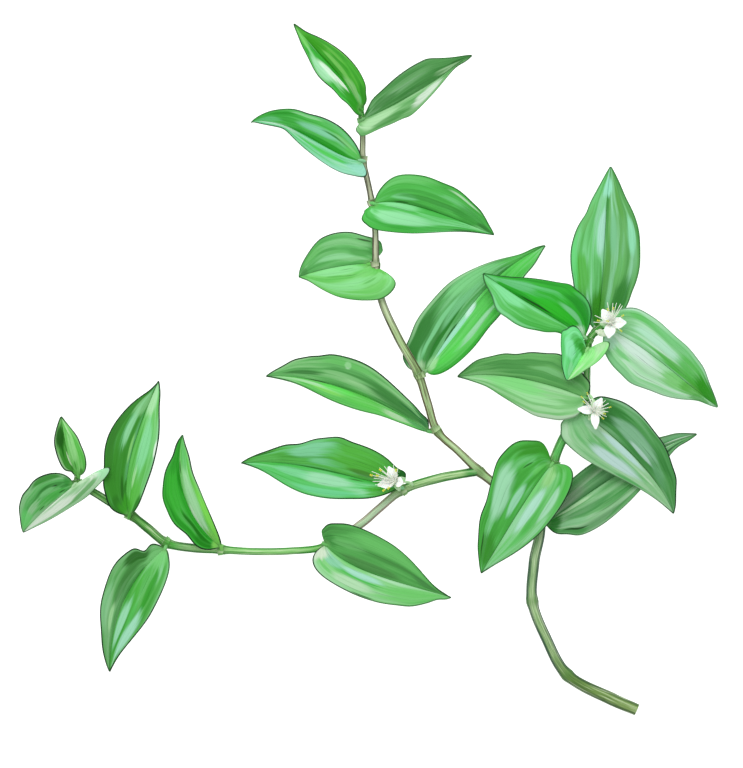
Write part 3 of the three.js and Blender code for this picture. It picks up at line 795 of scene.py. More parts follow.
@dataclass(frozen=True)
class Stretch:
    """One unbranched stretch of the stem.

    Its points are x, y, z and radius in mm, and its joints are at the points of those indices. Its
    tints are a share of the way along, the colour on top and the colour on the flanks; the flank colour
    is partly the stem's own tint and partly painted shade of its round sides.
    """

    points: tuple[tuple[float, float, float, float], ...]
    joints: tuple[int, ...]
    tints: tuple[tuple[float, str, str], ...]


@dataclass
class StemLine:
    """The centre line of a stretch, at even steps, with its radius and the places of its joints.

    Tone and edge are the linear colours on top and on the flanks at each step; the flank colour is partly
    painted shade.
    """

    stretch: Stretch
    step: float = 0.7
    spans: int = 40
    path: np.ndarray = field(init=False)
    places: np.ndarray = field(init=False)
    radii: np.ndarray = field(init=False)
    joints: np.ndarray = field(init=False)
    nearness: np.ndarray = field(init=False)
    tone: np.ndarray = field(init=False)
    edge: np.ndarray = field(init=False)

    def __post_init__(self) -> None:
        """Works out the line.

        The line is a spline through the points. The radius goes straight from point to point, plus
        a swelling that falls off as a bell on either side of each joint. The colours are blended
        between the tints.
        """
        knots = np.array(self.stretch.points, dtype=float)
        fine = spline(knots[:, :3], self.spans)
        run = np.concatenate([[0.0], np.cumsum(np.linalg.norm(np.diff(fine, axis=0), axis=1))])
        stops = run[::self.spans]
        self.places = np.linspace(0, run[-1], int(run[-1] / self.step) + 1)
        self.path = between(self.places, run, fine)
        self.joints = stops[list(self.stretch.joints)]
        bells = np.exp(-((self.places[:, None] - self.joints[None]) / NODE_SPREAD) ** 2)
        self.nearness = np.minimum(bells.sum(axis=1), 1.0)
        self.radii = np.interp(self.places, stops, knots[:, 3]) + NODE_SWELL * self.nearness
        shares, *columns = zip(*self.stretch.tints)
        self.tone, self.edge = (
            between(self.places / run[-1], shares, np.array([linear(code)[:3] for code in codes]))
            for codes in columns
        )


@dataclass
class Seat:
    """Where a leaf holds the stem: a point of its line and its direction, radius and colours.

    Toward is the direction from the point to the leaf, and out is the part of it that is square
    to the stem. Side is square to both.
    """

    point: np.ndarray
    along: np.ndarray
    radius: float
    toward: np.ndarray
    tone: np.ndarray
    edge: np.ndarray
    out: np.ndarray = field(init=False)
    side: np.ndarray = field(init=False)

    def __post_init__(self) -> None:
        """Works out the two directions square to the stem."""
        self.out = unit(self.toward - np.dot(self.toward, self.along) * self.along)
        self.side = np.cross(self.along, self.out)


@dataclass
class Stem:
    """The jointed stem of three stretches, and the seat that it offers to a leaf."""

    stretches: tuple[Stretch, ...]
    finish: StemFinish = StemFinish()
    sides: int = 28
    rib_height: float = 0.03
    rib_count: int = 11
    groove_place: float = 0.5
    groove_depth: float = 0.16
    groove_half_width: float = 0.28
    lines: list[StemLine] = field(init=False)

    def __post_init__(self) -> None:
        """Works out the centre lines."""
        self.lines = [StemLine(stretch) for stretch in self.stretches]

    def seat(self, target: np.ndarray) -> Seat:
        """Finds where a leaf holds the stem.

        Args:
            target: the leaf's named base.

        Returns:
            The seat at the nearest centre-line point.
        """
        line = min(self.lines, key=lambda each: float(np.linalg.norm(each.path - target, axis=1).min()))
        place = int(np.linalg.norm(line.path - target, axis=1).argmin())
        point = line.path[place]
        along = unit(np.gradient(line.path, axis=0))[place]
        radius = float(line.radii[max(place - 1, 0):place + 2].max())
        return Seat(point, along, radius, unit(target - point), line.tone[place], line.edge[place])

    def shell(self, line: StemLine) -> Shell:
        """The skin of one stretch.

        The radius is that of the line, times one plus a small cosine that gives the lengthwise
        ribs, less a bell-shaped groove round the stem just past each joint. Nothing reaches below
        the floor.

        Args:
            line: the centre line.

        Returns:
            The closed tube with its tints.
        """
        angles = (np.arange(self.sides) + 0.5) / self.sides * FULL_TURN
        ribs = 1 + self.rib_height * np.cos(self.rib_count * angles)[None]
        offset = (line.places[:, None] - line.joints[None] - self.groove_place) / self.groove_half_width
        groove = self.groove_depth * np.minimum(np.exp(-offset**2).sum(axis=1), 1)
        flat = np.zeros_like(line.places)
        marks = {
            "tone": line.tone,
            "edge": line.edge,
            "stem": np.stack([line.nearness, flat, flat], axis=1),
            "reach": np.stack([line.places, flat, flat], axis=1),
        }
        return tube(line.path, (line.radii - groove)[:, None] * ribs, self.sides, marks).on_floor()

    def build(self, skin: Material) -> list[Piece]:
        """Builds the skin of all three stretches as one piece in the given finish."""
        whole = Shell.joined(self.shell(line) for line in self.lines)
        return [whole.piece("stem_skin", skin, Slot.STEM, ("stem",))]


# ---------------------------------------------------------------- leaves


class Side(Enum):
    """Which margin of a blade a bulge moves, or the whole blade."""

    LEFT = "left"
    RIGHT = "right"
    BOTH = "both"


LEFT, RIGHT, BOTH = Side


@dataclass(frozen=True)
class Bulge:
    """A local swelling of a margin, or below nought a hollow, in mm, such as a crinkle or a beak.

    It falls off as a bell on either side of t. On both sides at once it shifts the blade's line to
    the left instead.
    """

    side: Side
    t: float
    half_length: float
    size: float


@dataclass(frozen=True)
class Blade:
    """The line of a leaf: its base and tip, and the handles of its midrib and its margins.

    A midrib handle is a share of the length, an offset to the left and a height. A margin handle
    is a share of the length, an offset to the left and a rise above the midrib's handle.
    """

    base: Point
    tip: Point
    midrib: tuple[Point, Point]
    left: tuple[Point, Point]
    right: tuple[Point, Point]


def fan(
    blade: Blade, base: np.ndarray, t: np.ndarray, v: np.ndarray, crown: float, bulges: Iterable[Bulge] = ()
) -> np.ndarray:
    """The middle surface of a blade, as a fan of cubic veins.

    Seen in plan, x runs from the base to the tip and y to the left. The vein at v starts on a
    small circle round the base and ends on a short line at the tip. Its two handles lie the share
    |v| of the way from the midrib's handles to those of the margin on its side. Near the tip the
    veins close in on the midrib. Each half is rounded up by four times |v| times one less |v|,
    times the sine of pi t. A bulge stretches the way from the midrib to each vein of its side by
    its size over the half's width, times its bell.

    Args:
        blade: the line of the leaf.
        base: where the blade starts.
        t: shares from the base to the tip, rows by columns.
        v: shares from the midrib to the margin, left above nought, rows by columns.
        crown: the rise of the rounding.
        bulges: local changes of the outline.

    Returns:
        The points, rows by columns by 3.
    """
    tip = np.array(blade.tip)
    chord = (tip - base)[:2]
    length = float(np.linalg.norm(chord))
    heading = chord / length
    narrowest = 0.8

    def vein(v: np.ndarray) -> np.ndarray:
        """The cubic at v: the four points weighted by the Bernstein polynomials of t."""
        size = np.abs(v)[..., None]
        handles = []
        for rib, left, right in zip(blade.midrib, blade.left, blade.right):
            rib, left, right = (np.array(handle) * (length, 1, 1) for handle in (rib, left, right))
            margin = np.where(v[..., None] >= 0, left, right) + rib * (0, 0, 1)
            handles.append(rib + size * (margin - rib))
        aim = unit(handles[0][..., :2]) * ROOT_RADIUS
        start = np.concatenate([aim, np.full_like(size, base[2])], axis=-1)
        end = np.stack([np.full_like(v, length), v * TIP_WIDTH / 2, np.full_like(v, tip[2])], axis=-1)
        return bezier(t[..., None], start, *handles, end)

    draw = POINT_DRAW * smoothstep(POINT_FROM, POINT_FULL, t)[..., None]
    rib = vein(np.zeros_like(v))
    local = vein(v) * (1 - draw) + rib * draw
    for bulge in bulges:
        bell = bulge.size * np.exp(-(((t - bulge.t) / bulge.half_length) ** 2))
        if bulge.side is BOTH:
            local[..., 1] += bell * np.sin(math.pi * np.clip(t, 0, 1)) ** 0.3
            continue
        sign = 1.0 if bulge.side is LEFT else -1.0
        margin = vein(np.full_like(v, sign)) * (1 - draw) + rib * draw
        width = np.maximum(np.linalg.norm((margin - rib)[..., :2], axis=-1), narrowest)
        stretch = np.where(v * sign > 0, bell / width, 0.0)[..., None]
        local[..., :2] += (local - rib)[..., :2] * stretch
    x, y, z = np.moveaxis(local, -1, 0)
    z = z + crown * 4 * np.abs(v) * (1 - np.abs(v)) * np.sin(math.pi * t)
    plan = base[:2] + x[..., None] * heading + y[..., None] * (-heading[1], heading[0])
    return np.concatenate([plan, z[..., None]], axis=-1)


@dataclass
class Leaf:
    """One clasping leaf: a thin blade with parallel veins on a short open sheath.

    Its streaks of painted highlight, painted shade and tone, and its bulges, are rows in the order of the
    fields of the streak and bulge classes.
    """

    name: str
    blade: Blade
    left: Tones
    right: Tones
    tone_and_light_streaks: tuple[tuple[float, float, float, float, str, float], ...]
    bulges: tuple[tuple[Side, float, float, float], ...] = ()
    crease_shade: float = 0.85
    rim: float = 1.0
    rows: int = 97
    columns: int = 73
    gathering: float = 1.15
    rib_thickness: float = 0.46
    margin_thickness: float = 0.2
    wave_height: float = 0.22
    wave_angle: float = 11.0
    vein_height: float = 0.025
    keel_depth: float = 0.28
    keel_half_width: float = 0.05
    neck_length: float = 1.5
    neck_radius: float = 0.66
    sheath_length: float = 1.5
    sheath_slant: float = 0.35
    sheath_arc: float = 250.0
    sheath_wall: float = 0.18
    sheath_gap: float = 0.1
    sheath_flare: float = 0.16
    sheath_ridge: float = 0.2
    hair_count: int = 26
    hair_lean: float = 0.35
    hair_length: float = 0.6
    hair_radius: float = 0.035

    def blade_shell(self, base: np.ndarray, finish: LeafFinish) -> Shell:
        """The blade.

        Its middle surface is the fan, with the margins waving up and down by the cube of |v|
        times a sine along them, a groove along the midrib that falls off as a bell, and fine
        ridges over the parallel veins. The thickness falls from the midrib to the margin with |v|.

        Args:
            base: where the blade starts.
            finish: the finish, whose veins and seed the surface shares.

        Returns:
            The closed blade with its place and distances marked.
        """
        line = np.linspace(-1, 1, self.columns)
        v = np.sign(line) * np.abs(line) ** self.gathering
        t, v = np.meshgrid(np.linspace(0, 1, self.rows), v, indexing="ij")
        middle = fan(self.blade, base, t, v, BLADE_CROWN, [Bulge(*row) for row in self.bulges])
        phase = finish.seed * 2.3 + np.sign(v)
        wave = self.wave_height * np.abs(v) ** 3 * (1 + np.sin(self.wave_angle * t + phase)) / 2
        keel = self.keel_depth * np.exp(-((v / self.keel_half_width) ** 2))
        veins = self.vein_height * (np.abs(np.sin(finish.vein_count * math.pi * v)) - 0.5)
        middle[..., 2] += np.sin(math.pi * t) * (wave - keel + veins)
        middle[..., 2] = np.maximum(middle[..., 2], self.rib_thickness / 2)
        ends = smoothstep(0.0, 0.04, t) * smoothstep(1.0, 0.97, t) * 0.6 + 0.4
        thickness = (self.rib_thickness + (self.margin_thickness - self.rib_thickness) * np.abs(v)) * ends
        across = np.linalg.norm(np.diff(middle, axis=1), axis=2)
        from_right = np.concatenate([np.zeros((self.rows, 1)), np.cumsum(across, axis=1)], axis=1)
        to_margin = np.minimum(from_right, from_right[:, -1:] - from_right)
        to_rib = np.abs(from_right - from_right[:, self.columns // 2][:, None])
        marks = {
            "blade": np.stack([t, v, np.ones_like(t)], axis=-1),
            "measure": np.stack([to_margin, to_rib, np.linalg.norm(middle - base, axis=2)], axis=-1),
        }
        return closed_sheet(middle, thickness, marks)

    def sheath_shell(self, seat: Seat) -> Shell:
        """The open sheath round the stem.

        It is a sheet carried round the stem from one side of the leaf's direction to the other.
        Its radius is a little more than the stem's, and its rim flares out with the square of the
        place along it. On the leaf's side it is longest and has a ridge along it.

        Args:
            seat: where the leaf holds the stem.

        Returns:
            The closed sheath in the stem's colours.
        """
        turn, rise = np.meshgrid(
            np.radians(np.linspace(-self.sheath_arc / 2, self.sheath_arc / 2, 41)),
            np.linspace(-0.5, 0.5, 13), indexing="ij",
        )
        ridge = self.sheath_ridge * np.exp(-((turn / 0.5) ** 2))
        reach = seat.radius + self.sheath_gap + self.sheath_flare * (rise + 0.5) ** 2 + ridge
        height = rise * self.sheath_length * (1 + self.sheath_slant * np.cos(turn))
        ray = np.cos(turn)[..., None] * seat.out + np.sin(turn)[..., None] * seat.side
        middle = seat.point + height[..., None] * seat.along + reach[..., None] * ray
        middle[..., 2] = np.maximum(middle[..., 2], self.sheath_wall / 2 + 0.02)
        flat = np.zeros_like(turn)
        # the sheath takes the stem's colours, with the same painted shade on its flanks
        marks = {
            "tone": np.broadcast_to(seat.tone, middle.shape),
            "edge": np.broadcast_to(seat.edge, middle.shape),
            "stem": np.stack([0.5 + rise, np.cos(turn) * 0.6, np.sin(turn)], axis=-1),
            "reach": np.stack([height, flat, flat], axis=-1),
        }
        return closed_sheet(middle, np.full_like(turn, self.sheath_wall), marks)

    def hair_shell(self, seat: Seat) -> Shell:
        """Fine hairs that stand on the sheath's upper rim, fanning outwards.

        Args:
            seat: where the leaf holds the stem.

        Returns:
            The hairs.
        """
        turn = np.radians(np.linspace(-self.sheath_arc / 2, self.sheath_arc / 2, self.hair_count))[:, None]
        ray = np.cos(turn) * seat.out + np.sin(turn) * seat.side
        rise = 0.5 * self.sheath_length * (1 + self.sheath_slant * np.cos(turn)) - 0.1
        roots = seat.point + rise * seat.along + (seat.radius + 0.3) * ray
        lean = seat.along + self.hair_lean * ray
        return hairs(roots, lean, self.hair_length, self.hair_radius).on_floor()

    def build(self, stem: Stem, seed: float, skin: Material, down: Material) -> list[Piece]:
        """Builds the leaf on the stem.

        Args:
            stem: the stem that it clasps.
            seed: sets its grain and its waves apart from the other leaves'.
            skin: the finish of the sheath.
            down: the finish of the sheath's hairs.

        Returns:
            The blade, the sheath and the hairs.
        """
        tone_and_light_streaks = tuple(ToneAndLightStreak(*row) for row in self.tone_and_light_streaks)
        finish = LeafFinish(self.left, self.right, tone_and_light_streaks, seed, self.crease_shade, self.rim)
        seat = stem.seat(np.array(self.blade.base))
        base = seat.point + seat.toward * (seat.radius + CLEARANCE + SHEATH_WALL)
        heading = unit(np.array(self.blade.tip) - base)
        marks = {"blade": np.array([0.01, 0.3, 1.0]), "measure": np.array([0.8, 1.5, 1.4])}
        lean = heading * (1, 1, 0) + 0.5 * seat.toward
        neck = ellipsoid(base - 0.3 * seat.toward, lean, self.neck_length, self.neck_radius, marks)
        whole = Shell.joined([self.blade_shell(base, finish), neck.on_floor()])
        return [
            whole.piece(f"{self.name}_blade", finish.material(self.name), Slot.LEAF, (self.name,)),
            self.sheath_shell(seat).piece(f"{self.name}_sheath", skin, Slot.STEM),
            self.hair_shell(seat).piece(f"{self.name}_hairs", down, Slot.STEM),
        ]


# ---------------------------------------------------------------- flowers and bud


@dataclass
class FlowerFinishes:
    """The materials that the flowers and the bud share."""

    petal: Material
    calyx: Material
    filament: Material
    anther: Material
    bud: Material

    @classmethod
    def made(cls) -> "FlowerFinishes":
        """Builds the materials."""
        return cls(
            PetalFinish().material(),
            GrainFinish("soft_sepal_tissue", "#8fbf86", "#b4d5a8", 1.2).material(),
            GrainFinish("translucent_filament_hairs", "#f3f5ee", "#dfe8d6", 1.5, 0.5).material(),
            GrainFinish("powdery_pollen_sac", "#d6dc4c", "#bcc432", 5.0, 0.8).material(),
            GrainFinish("pale_bud_skin", "#dfe9d3", "#c3d6b3", 1.0).material(),
        )


@dataclass
class Flower:
    """One small three-petalled flower on its stalk, with six stamens.

    Places are in mm. Petals, anthers and bare tips, which are threads with no anther, are offsets
    from the flower's heart.
    """

    name: str
    foot: Point
    elbow: Point
    heart: Point
    petals: tuple[Point, ...]
    anthers: tuple[Point, ...]
    bare_tips: tuple[Point, ...]
    petal_half_width: float
    lobe_length: float
    lobe_radius: float
    petal_thickness: float = 0.22
    petal_shoulder: float = 1.3
    petal_crown: float = 0.12
    petal_fold: float = 0.1
    sepal_thickness: float = 0.3
    filament_radius: float = 0.13
    lobe_spread: float = 0.26
    neck_drop: float = 0.6
    hairs_per_filament: int = 34
    hair_length: float = 1.0
    hair_radius: float = 0.028

    def petal_shell(
        self, base: np.ndarray, reach: np.ndarray, half_width: float, thickness: float
    ) -> Shell:
        """One petal or sepal: a small fan with a shallow fold along its middle.

        Args:
            base: where it starts.
            reach: from there to its tip.
            half_width: how far its margin's handles stand out.
            thickness: its thickness.

        Returns:
            The closed petal.
        """
        tip = base + reach
        wide = half_width * self.petal_shoulder
        blade = Blade(
            tuple(base), tuple(tip),
            ((0.3, 0.0, base[2] + PETAL_ARCH), (0.7, 0.0, tip[2] + PETAL_ARCH)),
            ((0.25, wide, PETAL_ARCH), (0.7, half_width, PETAL_ARCH)),
            ((0.25, -wide, PETAL_ARCH), (0.7, -half_width, PETAL_ARCH)),
        )
        t, v = np.meshgrid(np.linspace(0, 1, 33), np.linspace(-1, 1, 25), indexing="ij")
        middle = fan(blade, base, t, v, self.petal_crown)
        fold = np.abs(v) ** 2 * np.sin(9 * t + v) - np.exp(-((v / 0.1) ** 2))
        middle[..., 2] += self.petal_fold * np.sin(math.pi * t) * fold
        marks = {"blade": np.stack([t, v, np.ones_like(t)], axis=-1)}
        return closed_sheet(middle, thickness * (1 - 0.5 * np.abs(v)), marks)

    def filament_path(self, offset: Point) -> np.ndarray:
        """The line of one stamen: a cubic that rises from the heart and arches out to its tip.

        Args:
            offset: from the heart to the tip.

        Returns:
            The points of the line.
        """
        outward = np.array(offset) * (1, 1, 0)
        rise = 0.25 * outward + STAMEN_HUB_HEIGHT * UP
        arch = 0.72 * outward + (max(offset[2], 1.8) + 0.3) * UP
        share = np.linspace(0, 1, 15)[:, None]
        return np.array(self.heart) + bezier(share, 0.2 * UP, rise, arch, np.array(offset))

    def sepal_shell(self) -> Shell:
        """The stalk, its cup and the three sepals between the petals.

        The stalk's line is a parabola from the foot through the elbow to the neck, just under the
        heart, where the stalk widens to its cup.

        Returns:
            The closed bodies in one shell.
        """
        heart, foot, elbow = (np.array(place) for place in (self.heart, self.foot, self.elbow))
        s = np.linspace(0, 1, 21)[:, None]
        neck = heart - self.neck_drop * UP
        path = bezier(s, foot, 2 * elbow - 0.5 * foot - 0.5 * neck, neck)
        grow = STALK_RADIUS * (0.86 + 0.5 * smoothstep(0.8, 1.0, s[:, 0]))
        parts = [tube(path, grow, 14, {"blade": np.tile([0.4, 0.0, 1.0], (len(s), 1))})]
        for petal in self.petals:
            reach = -unit(np.array(petal) * (1, 1, 0)) * SEPAL_LENGTH + SEPAL_DROP * UP
            base = heart + (0.5 - CUP_DEPTH) * UP
            parts.append(self.petal_shell(base, reach, SEPAL_HALF_WIDTH, self.sepal_thickness))
        return Shell.joined(parts)

    def anther_shell(self) -> Shell:
        """The anthers, each of two lobes side by side across its filament's end.

        Returns:
            The lobes in one shell.
        """
        lobes = []
        for offset in self.anthers:
            path = self.filament_path(offset)
            heading = unit(path[-1] - path[-3])
            across = unit(np.cross(heading, UP))
            for shift in (-self.lobe_spread, self.lobe_spread):
                place = path[-1] + 0.1 * UP + shift * heading
                lobes.append(ellipsoid(place, across, self.lobe_length, self.lobe_radius, {}))
        return Shell.joined(lobes)

    def filament_shells(self) -> Shell:
        """The filaments, the bare tips, and the fine hairs that stand round their lower halves.

        Returns:
            The threads and hairs in one shell.
        """
        parts = []
        for index, offset in enumerate(self.anthers + self.bare_tips):
            path = self.filament_path(offset)
            taper = self.filament_radius * np.linspace(1.15, 0.75, len(path))
            parts.append(tube(path, taper, 8))
            places = np.linspace(0.12, 0.62, self.hairs_per_filament) * (len(path) - 1)
            turn = np.arange(self.hairs_per_filament) * 2.4 + index
            rays = np.stack([np.cos(turn), np.sin(turn), 0.5 + 0.4 * np.sin(3 * turn)], axis=1)
            roots = between(places, np.arange(len(path)), path)
            parts.append(hairs(roots, rays, self.hair_length, self.hair_radius))
        return Shell.joined(parts)

    def build(self, finishes: FlowerFinishes) -> list[Piece]:
        """Builds the flower.

        Args:
            finishes: the materials that all flowers share.

        Returns:
            The corolla, the sepals with the stalk, the filaments and the anthers.
        """
        heart = np.array(self.heart)
        parts = [
            self.petal_shell(heart, np.array(reach), self.petal_half_width, self.petal_thickness)
            for reach in self.petals
        ]
        parts.append(ellipsoid(heart + 0.35 * UP, UP, 0.8, 0.6, {"blade": np.array([0.05, 0.0, 1.0])}))
        rows = (
            ("corolla", Shell.joined(parts), finishes.petal, Slot.PETAL, "petals"),
            ("sepals", self.sepal_shell(), finishes.calyx, Slot.CALYX, "stalk"),
            ("filaments", self.filament_shells(), finishes.filament, Slot.STAMEN, "stamens"),
            ("anthers", self.anther_shell(), finishes.anther, Slot.STAMEN, "stamens"),
        )
        return [
            shell.piece(f"{self.name}_{part}", material, slot, (f"{self.name}_{node}",))
            for part, shell, material, slot, node in rows
        ]


@dataclass
class Bud:
    """The closed bud beside the top right flower, on its short stalk."""

    name: str
    foot: Point
    elbow: Point
    tip: Point
    radius: float
    rise: float = 0.6
    stalk_share: float = 0.3
    point_radius: float = 0.12
    rib_height: float = 0.09
    ribs: int = 3
    sides: int = 24

    def build(self, material: Material) -> list[Piece]:
        """Builds the bud.

        Its line is a parabola from the foot over the elbow to the tip. The radius is the stalk's
        for its share of the way, and then swells as the sine of the share that is left, with ribs
        where the sepals meet.

        Args:
            material: its finish.

        Returns:
            The bud.
        """
        s = np.linspace(0, 1, 49)
        over = np.array(self.elbow) + self.rise * UP
        path = bezier(s[:, None], np.array(self.foot), over, np.array(self.tip))
        share = np.clip((s - self.stalk_share) / (1 - self.stalk_share), 0, 1)
        radii = np.maximum(STALK_RADIUS * (1 - 0.55 * share), self.radius * np.sin(math.pi * share**0.85))
        radii[-1] = self.point_radius
        angles = (np.arange(self.sides) + 0.5) / self.sides * FULL_TURN
        ribs = 1 - self.rib_height * share[:, None] * np.abs(np.cos(self.ribs / 2 * angles))[None] ** 6
        closed = tube(path, radii[:, None] * ribs, self.sides)
        return [closed.piece(f"{self.name}_closed", material, Slot.CALYX, (self.name,))]


# ---------------------------------------------------------------- the sprig


MAIN = Stretch(
    points=(
        (88.3, -112.5, 1.75, 1.95), (80, -108.9, 1.9, 2.15), (65.3, -100.9, 1.9, 1.85),
        (58.4, -88.9, 1.7, 1.75), (53.8, -76.6, 1.85, 1.75), (54.4, -64, 1.8, 1.8), (56.1, -51, 1.95, 1.7),
        (49.2, -43.6, 2.05, 1.55), (40.3, -37.1, 2.35, 1.5), (36.3, -33.8, 2.6, 1.5), (29.5, -27.3, 3, 1.3),
        (22.4, -20.5, 3.5, 1.3), (19.3, -11.4, 4, 1.4), (16.2, -1.8, 4.6, 1.4), (9.5, 10.4, 5.1, 1.4),
        (4, 22.9, 5.5, 1.25), (2.3, 34.5, 5.9, 1.1), (2, 46, 6.3, 1.05), (1, 54.3, 6.6, 1), (-1, 63.9, 7, 1),
        (-2, 68.1, 7.3, 1), (-2.1, 76.7, 7.8, 0.97), (-2.4, 82, 8.1, 0.9), (-2.7, 86.4, 8.4, 0.8),
    ),
    joints=(2, 4, 6, 9, 11, 13, 16, 18, 20, 22),
    tints=(
        (0, "#7d9a58", "#4a6636"), (0.1, "#628440", "#34532a"), (0.14, "#75975e", "#2f4f38"),
        (0.22, "#84aa70", "#33543a"), (0.32, "#85a578", "#38583f"), (0.43, "#9dbd86", "#5e5440"),
        (0.55, "#a3c68a", "#5c5238"), (0.66, "#9dbd80", "#4c5034"), (0.76, "#b4bb9c", "#40382c"),
        (0.93, "#b2b499", "#40362c"), (0.958, "#a3a888", "#40362c"), (0.966, "#4fae45", "#1f7a24"),
        (1, "#2f9e2a", "#14701a"),
    ),
)

LEFT_SHOOT = Stretch(
    points=(
        (36.3, -33.8, 2.6, 1.5), (29.9, -34.8, 3, 1.5), (23.1, -36.1, 3.3, 1.55), (10.9, -40.1, 3.6, 1.4),
        (3, -46.4, 3.5, 1.38), (-2.1, -50.8, 3.5, 1.4), (-14.2, -58.5, 3.5, 1.2), (-26.1, -60.1, 3.1, 1.2),
        (-37.6, -60.3, 2.9, 1.2), (-48.5, -59.7, 3, 1.3), (-57.4, -59.2, 3.3, 1.45),
        (-66.7, -57.4, 3.8, 1.45), (-72.7, -52.7, 4.3, 1.6), (-78.3, -48.3, 4.8, 1.35),
        (-85, -44.2, 5.4, 1.35), (-90.6, -40.7, 5.9, 1.3), (-95.8, -37.9, 6.4, 1.05),
        (-95.9, -34.6, 7.1, 0.85),
    ),
    joints=(3, 6, 9, 11, 13, 16),
    tints=(
        (0, "#3f8f3c", "#1c5420"), (0.025, "#4f9a48", "#1c5420"), (0.04, "#94bd7c", "#2f7a26"),
        (0.17, "#a3c78c", "#2f7a26"), (0.22, "#a9c4a2", "#8a7a70"), (0.37, "#a3c49c", "#8a7a70"),
        (0.4, "#6fb55c", "#2a7a22"), (0.6, "#8fcc7a", "#2f8226"), (0.7, "#86b676", "#33632f"),
        (0.73, "#46a53c", "#237a20"), (0.76, "#549a44", "#1f5c1a"), (1, "#6cab58", "#1f5c1a"),
    ),
)

RIGHT_SHOOT = Stretch(
    points=(
        (56.1, -51, 1.95, 1.6), (57.7, -45.8, 2.9, 1.6), (58.9, -40, 4.4, 1.6), (60.6, -31.2, 6.2, 1.6),
        (63.9, -22.9, 8, 1.55), (70.6, -12.6, 10, 1.35), (71.5, -2.1, 11.2, 1.2), (71.6, 6.4, 11.9, 1.1),
        (72.4, 9.6, 12.2, 1.3), (74.2, 12, 12.5, 1.2), (77.6, 14.7, 12.9, 0.95),
    ),
    joints=(3, 5, 7),
    tints=(
        (0, "#9dbb86", "#7d6f5c"), (0.2, "#7fb86c", "#4f8a3c"), (0.35, "#5cb85c", "#2f7a2c"),
        (0.6, "#5aa85c", "#2f6f34"), (0.84, "#2f9024", "#1c6218"), (1, "#2f8a22", "#1f6a1a"),
    ),
)

